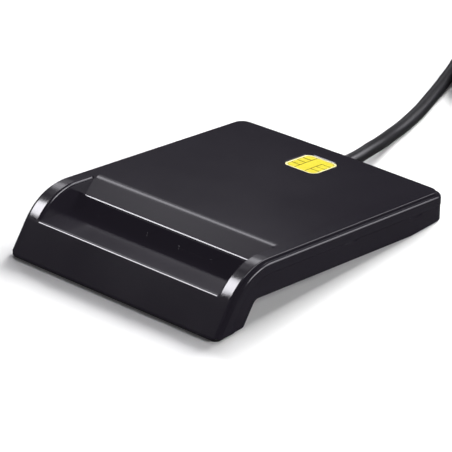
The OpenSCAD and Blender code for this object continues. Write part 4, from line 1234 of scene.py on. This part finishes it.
for node, name, finish, slot, edge, body in (
        ("crystal", "crystalCan", canSteel, "can_steel", 0.18, "reader"),
        ("connector_housing", "connectorBody", connectorPlastic, "connector_plastic", 0.07, "reader"),
        ("circuit_board", "circuitBoard", boardLaminate, "board_laminate", 0.06, "reader"),
        ("detect_contact", "detectContact", tinnedTail, "tinned_tail", 0.04, "reader"),
        ("cord_jacket_end", "jacketEnd", cordVinyl, "cord_vinyl", 0.12, "reader"),
        ("plug_tongue", "plugTongue", tongueNylon, "tongue_nylon", 0.12, "reader"),
        ("plug_contacts", "plugContacts", contactAlloy, "contact_alloy", 0.03, "reader"),
        ("detect_lever", "detectLever", contactAlloy, "contact_alloy", 0.04, "card_detector")):
    handIn(softEdged(name, node, edge), node, finish, body)

# status light: a clear dome on a ceramic body
ledDome = [(0.001, 0.02), (0.3, 0.05), (0.52, 0.2), (0.6, 0.45)]


def makeLed():
    low, high = solidsOf("status_led")[0]
    mid = middle((low, high))
    body = block("statusLed", low, (high.x, high.y, mid.z + 0.1), 0.05)
    toDeck(body)
    setMaterial(body, ceramicTan.material)
    dome = lathe("ledDome", [(r, low.z + up) for r, up in ledDome] + [(ledDome[-1][0], high.z)], 24)
    toDeck(dome, mid.x, mid.y)
    setMaterial(dome, ledLens.material)
    joinAll("statusLed", body, dome)
    smoothByAngle(body)
    return body


handIn(makeLed(), "status_led")

headerForm = {"wires": 4, "pitch": 0.85, "deep": 0.9, "edge": 0.08,
              "hole": 0.6, "holeLow": 0.2, "holeHigh": 0.4}


def makeHeader():
    (low, high), v = solidsOf("wire_header")[0], headerForm
    mid = middle((low, high))
    body = block("wireHeader", low - Vector((mid.x, 0, 0)), high - Vector((mid.x, 0, 0)), v["edge"])
    for i in range(v["wires"]):
        x = (i - (v["wires"] - 1) / 2) * v["pitch"]
        cutWith(body, block("hole", (x - v["hole"] / 2, low.y - 1, mid.z - v["holeLow"]),
                            (x + v["hole"] / 2, low.y + v["deep"], mid.z + v["holeHigh"])))
    toDeck(body, mid.x)
    smoothByAngle(body)
    return body


handIn(makeHeader(), "wire_header", headerNylon)

# inner wires
wireForm = {"radius": 0.375, "bow": 0.048, "steps": 8, "sides": 16, "rough": 0.35, "grain": 1e-6}
wireColors = {"wireRed": (0.42, 0.02, 0.02), "wireWhite": (0.75, 0.75, 0.72),
              "wireGreen": (0.02, 0.22, 0.05), "wireBlack": (0.015, 0.015, 0.016)}


def makeWires():
    v, n = wireForm, wireForm["steps"]
    solids = sorted(solidsOf("inner_wires", False), key=lambda pair: pair[0].x)
    parts = []
    for (low, high), (name, color) in zip(solids, wireColors.items()):
        mid = middle((low, high))
        line = [(mid.x, high.y - (high.y - low.y) * k / n, mid.z + v["bow"] * math.sin(math.pi * k / n))
                for k in range(n + 1)]
        vinyl = mattPlastic(name, color, v["rough"], v["grain"])
        parts.append(sweepAlong(name, line, v["radius"], v["sides"], vinyl))
    return joinAll("innerWires", *parts)


handIn(makeWires(), "inner_wires")

# strain relief: a flange inside the rear wall, and a ringed sleeve outside
reliefForm = {"body": 2.4, "tip": 1.95, "rings": 3, "ringDeep": 0.18, "flange": 1.2, "flangeEdge": 0.25,
              "outside": 2.0, "ringPitch": 0.6}


def makeRelief():
    low, high = (Vector(c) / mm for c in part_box("strain_relief"))
    v, out, r0 = reliefForm, high.y - low.y, reliefForm["body"]
    flange = block("strainRelief", low, (high.x, low.y + v["flange"], high.z), v["flangeEdge"])
    wall = out - v["outside"]
    profile = [(r0, v["flange"] - 0.2), (r0, wall)]
    for i in range(v["rings"]):
        a = wall + 0.15 + i * v["ringPitch"]
        r = r0 - (r0 - v["tip"]) * (a - wall) / v["outside"]
        deep = r - v["ringDeep"]
        profile += [(r, a), (deep, a + 0.12), (deep - 0.02, a + 0.3), (r - 0.03, a + 0.42)]
    sleeve = lathe("sleeve", profile + [(v["tip"] + 0.02, out - 0.08), (v["tip"] - 0.04, out)], 40)
    alongCord(sleeve, low.y)
    cutWith(flange, sleeve, "UNION")
    smoothByAngle(flange)
    return flange


handIn(makeRelief(), "strain_relief", reliefVinyl)
print("inner pieces made")

# the strap round the coil: a woven band with rounded corners
tieForm = {"width": 4.0, "thick": 0.5, "corner": 1.4, "clear": 0.3}


def makeStrap():
    turn, t, c, w = coilTurns / 2 - 0.5, tieForm["thick"], tieForm["corner"], tieForm["width"] / 2
    r0 = cordSize / 2 + tieForm["clear"]
    outer = coilReach - (turn - math.floor(turn)) * coilPitch + r0
    inner = coilReach - turn * coilPitch - r0
    high = coilPitch + cordSize + 0.2 + 2 * t
    x0, x1, z0, z1 = inner - t / 2, outer + t / 2, t / 2, high - t / 2
    ring = []
    for cx, cz, start in ((x1 - c, z1 - c, 0), (x0 + c, z1 - c, 90),
                          (x0 + c, z0 + c, 180), (x1 - c, z0 + c, 270)):
        ring += arcSteps(cx, cz, c, start, start + 90, 6)
    rings = []
    for i, (x, z) in enumerate(ring):
        way = Vector(ring[(i + 1) % len(ring)]) - Vector(ring[i - 1])
        out = Vector((way.y, -way.x)).normalized()
        # a lens shaped section with soft edges
        section = ((-w, 0.25), (-w * 0.8, 1), (w * 0.8, 1), (w, 0.25), (w * 0.8, -1), (-w * 0.8, -1))
        rings.append([(x + out.x * side * t / 2, k, z + out.y * side * t / 2) for k, side in section])
    band = fromRings("coilStrap", rings, True)
    angle = math.radians(cord["coilFrom"] - 360 * turn)
    place = Matrix.Translation(Vector((*cord["coilCentre"], 0)) * mm)
    band.data.transform(place @ Matrix.Rotation(angle, 4, "Z"))
    smoothByAngle(band, 50)
    return band


strap = makeStrap()
handIn(strap, "cable_tie", tieFabric)

# the plug, in its own frame: the cord comes in at the origin and the plug points along -Y
plugMatrix = Matrix.Translation(plugPlace * mm) @ Matrix.Rotation(math.atan2(plugAim.x, -plugAim.y), 4, "Z")
plugForm = {"width": 12.0, "height": 4.5, "length": 12.0, "metal": 0.35, "corner": 0.55, "window": 2.0,
            "windowAt": 0.45, "seam": 0.16, "gripR": 2.6, "edge": 0.9, "ribs": 4, "ribR": 0.54, "rings": 3,
            "ringPitch": 2.0, "neckShare": 0.4}
gripEnd = -(grip["neck"] + grip["length"])


def makeGrip():
    v, r, high = plugForm, cordSize / 2 + 0.55, grip["height"] / 2
    neckEnd = v["neckShare"] * grip["height"]
    body = plate("plugGrip", badgeOutline(grip["width"], grip["length"], v["gripR"], 6), -high, high)
    body.data.transform(Matrix.Translation((0, (gripEnd + grip["length"] / 2) * mm, 0)))
    breakEdges(body, v["edge"], 4, 60)
    # the neck widens from the cord in rings
    profile = [(r - 0.05, 0), (r, 0.1)]
    for i in range(v["rings"]):
        a = 0.5 + i * v["ringPitch"]
        here = r + (neckEnd - r) * a / grip["neck"]
        profile += [(here, a), (here - 0.35, a + 0.3), (here - 0.35, a + 0.8), (here + 0.05, a + 1.1)]
    neck = lathe("neck", profile + [(neckEnd, grip["neck"]), (neckEnd, grip["neck"] + 0.8)], 36)
    neck.data.transform(Matrix.Rotation(math.pi / 2, 4, "X"))
    cutWith(body, neck, "UNION")
    rib = lathe("rib", [(v["ribR"], -6), (v["ribR"], 6)], 20)
    for side in (-1, 1):
        for i in range(v["ribs"]):
            y = -(grip["neck"] + 0.4 * grip["length"] + i * grip["ribPitch"])
            cutWith(body, copyOf(rib, Matrix.Translation((side * grip["width"] / 2 * mm, y * mm, 0))))
    drop(rib)
    cutWith(body, block("seat", (-v["width"] / 2, gripEnd - 1, -v["height"] / 2),
                        (v["width"] / 2, gripEnd + grip["seat"], v["height"] / 2)))
    body.data.transform(plugMatrix)
    smoothByAngle(body)
    return body


def makePlugShell():
    v, start = plugForm, gripEnd + grip["seat"]
    metal, end, low = v["metal"], gripEnd - v["length"], -v["height"] / 2
    outer, inner = (badgeOutline(v["width"] - 2 * k, v["height"] - 2 * k, v["corner"] - k * 0.7, 6)
                    for k in (0, metal))
    flared = [(x * 1.01, z * 1.02) for x, z in inner]
    rings = [[(x, y, z) for x, z in outline] for outline, y in (
        (outer, start), (outer, end + 0.15), (flared, end), (inner, end + 0.6), (inner, start - metal))]
    tube = fromRings("plugShell", rings)
    midY, half = end + v["length"] * v["windowAt"], v["window"] / 2
    for x in (-1, 1):
        for z in (-1, 1):
            cx, cz = x * v["width"] / 5, z * v["height"] / 2
            cutWith(tube, block("window", (cx - half, midY - half, cz - 0.6),
                                (cx + half, midY + half, cz + 0.6)))
    # the fold's seam underneath
    cutWith(tube, block("seam", (-v["seam"] / 2, end - 1, low - 1), (v["seam"] / 2, start - 1, low + 0.2)))
    tube.data.transform(plugMatrix)
    smoothByAngle(tube, 35)
    return tube


plugGrip = makeGrip()
handIn(plugGrip, "plug_grip", gripVinyl)
plugShell = makePlugShell()
handIn(plugShell, "plug_shell", plugSteel)

print("plug made")

# floor, world and lamps
stage = {
    "floorSize": 6.0, "floorLow": -0.00002, "floorColor": 0.8, "floorShine": 0.06,
    "floorGlow": 0.035, "floorSheen": 0.22, "floorRough": 0.15,
    "wallLow": 0.01, "wallHigh": 0.03, "wallFrom": 0.26, "wallTo": 0.42,
    "wallColor": (0.98, 0.95, 1.06, 1), "lampColor": (0.99, 0.975, 1.035), "aimAt": (0, -0.02, 0.01),
}
lamps = {
    # azimuth from +Y towards +X, elevation, distance, width, height, radiance, what it acts on
    "skirtLowest": (-42, 14.5, 0.92, 0.52, 0.08, 0.03, "gloss"),
    "skirtLow": (-52, 19, 0.92, 0.52, 0.065, 0.12, "gloss"),
    "skirtHigh": (-50, 23.5, 0.92, 0.52, 0.08, 0.8, "gloss"),
    "softboxLow": (-44, 29.5, 0.9, 0.52, 0.11, 0.6, "gloss"),
    "softboxLeft": (-48, 38.5, 0.9, 0.46, 0.17, 4.4, "gloss"),
    "softboxTop": (-54, 48, 0.9, 0.34, 0.12, 0.55, "gloss"),
    "sideNear": (-71, 50, 0.9, 0.20, 0.15, 0.9, "gloss"),
    "sideFar": (-90, 54, 0.9, 0.14, 0.14, 0.9, "gloss"),
    "softboxFront": (-120, 46, 0.7, 0.28, 0.28, 28.0, "gloss"),
    "rightLow": (26, 22, 0.9, 0.56, 0.18, 3.0, "gloss"),
    "rightHigh": (26, 39, 0.9, 0.50, 0.30, 7.0, "gloss"),
    "sideRight": (66, 42, 0.9, 0.46, 0.36, 12.0, "gloss"),
    "faceFront": (-142, 30, 0.9, 0.40, 0.30, 0.04, "gloss"),
    "keyRear": (-6, 32, 1.2, 0.60, 0.40, 37.0, "diffuse"),
    "keyLeft": (-30, 32, 1.2, 0.50, 0.40, 0.6, "diffuse"),
    "keyRight": (64, 28, 1.2, 0.50, 0.40, 15.0, "diffuse"),
}


def makeFloor():
    half, z = stage["floorSize"] / 2, stage["floorLow"]
    corners = [(-half, -half, z), (half, -half, z), (half, half, z), (-half, half, z)]
    floor = meshObject("floor", corners, [(0, 1, 2, 3)], 1)
    material = bpy.data.materials.new("floorPaper")
    material.use_nodes = True
    tree = material.node_tree
    tree.nodes.clear()
    out, paper, glow, ray, sheen = addNodes(
        tree, "ShaderNodeOutputMaterial", "ShaderNodeBsdfDiffuse", "ShaderNodeEmission",
        "ShaderNodeLightPath", "ShaderNodeBsdfGlossy")
    seen = ray.outputs["Is Camera Ray"]
    # glossy pieces reflect a dark floor, and only the camera sees the glow and the sheen
    shade = rangeNode(tree, ray.outputs["Is Glossy Ray"], 0, 1, stage["floorColor"], stage["floorShine"])
    tree.links.new(shade, paper.inputs["Color"])
    tree.links.new(mathNode(tree, "MULTIPLY", seen, stage["floorGlow"]), glow.inputs["Strength"])
    tree.links.new(mathNode(tree, "MULTIPLY", seen, stage["floorSheen"]), sheen.inputs["Color"])
    sheen.inputs["Roughness"].default_value = stage["floorRough"]
    total = paper
    for part in (sheen, glow):
        both = tree.nodes.new("ShaderNodeAddShader")
        wire(tree, (total, 0, both, 0), (part, 0, both, 1))
        total = both
    wire(tree, (total, 0, out, "Surface"))
    setMaterial(floor, material)


def makeWorld():
    # the camera sees white, and the part sees dim walls that brighten upwards
    world = bpy.data.worlds.new("studio")
    scene.world = world
    world.use_nodes = True
    tree = world.node_tree
    tree.nodes.clear()
    out, look, split, walls, white, ray, pick = addNodes(
        tree, "ShaderNodeOutputWorld", "ShaderNodeTexCoord", "ShaderNodeSeparateXYZ",
        "ShaderNodeBackground", "ShaderNodeBackground", "ShaderNodeLightPath", "ShaderNodeMixShader")
    level = rangeNode(tree, split.outputs["Z"], stage["wallFrom"], stage["wallTo"],
                      stage["wallLow"], stage["wallHigh"])
    tree.links.new(level, walls.inputs["Strength"])
    walls.inputs["Color"].default_value = stage["wallColor"]
    wire(tree,
         (look, "Generated", split, 0),
         (ray, "Is Camera Ray", pick, 0),
         (walls, 0, pick, 1),
         (white, 0, pick, 2),
         (pick, 0, out, "Surface"))


def addLamp(name, azimuth, elevation, distance, width, height, radiance, kind):
    turn, lift = math.radians(azimuth), math.radians(elevation)
    aim = Vector((math.sin(turn) * math.cos(lift), math.cos(turn) * math.cos(lift), math.sin(lift)))
    data = bpy.data.lights.new(name, "AREA")
    data.shape = "RECTANGLE"
    data.size, data.size_y = width, height
    data.energy = radiance * math.pi * width * height
    if kind == "gloss":
        data.color = stage["lampColor"]
    lamp = addObject(name, data)
    lamp.location = Vector(stage["aimAt"]) + aim * distance
    lamp.rotation_euler = aim.to_track_quat("Z", "Y").to_euler()
    lamp.visible_camera = False
    lamp.visible_glossy = kind == "gloss"
    lamp.visible_diffuse = kind == "diffuse"


makeFloor()
makeWorld()
for lampName, values in lamps.items():
    addLamp(lampName, *values)
print("stage set")
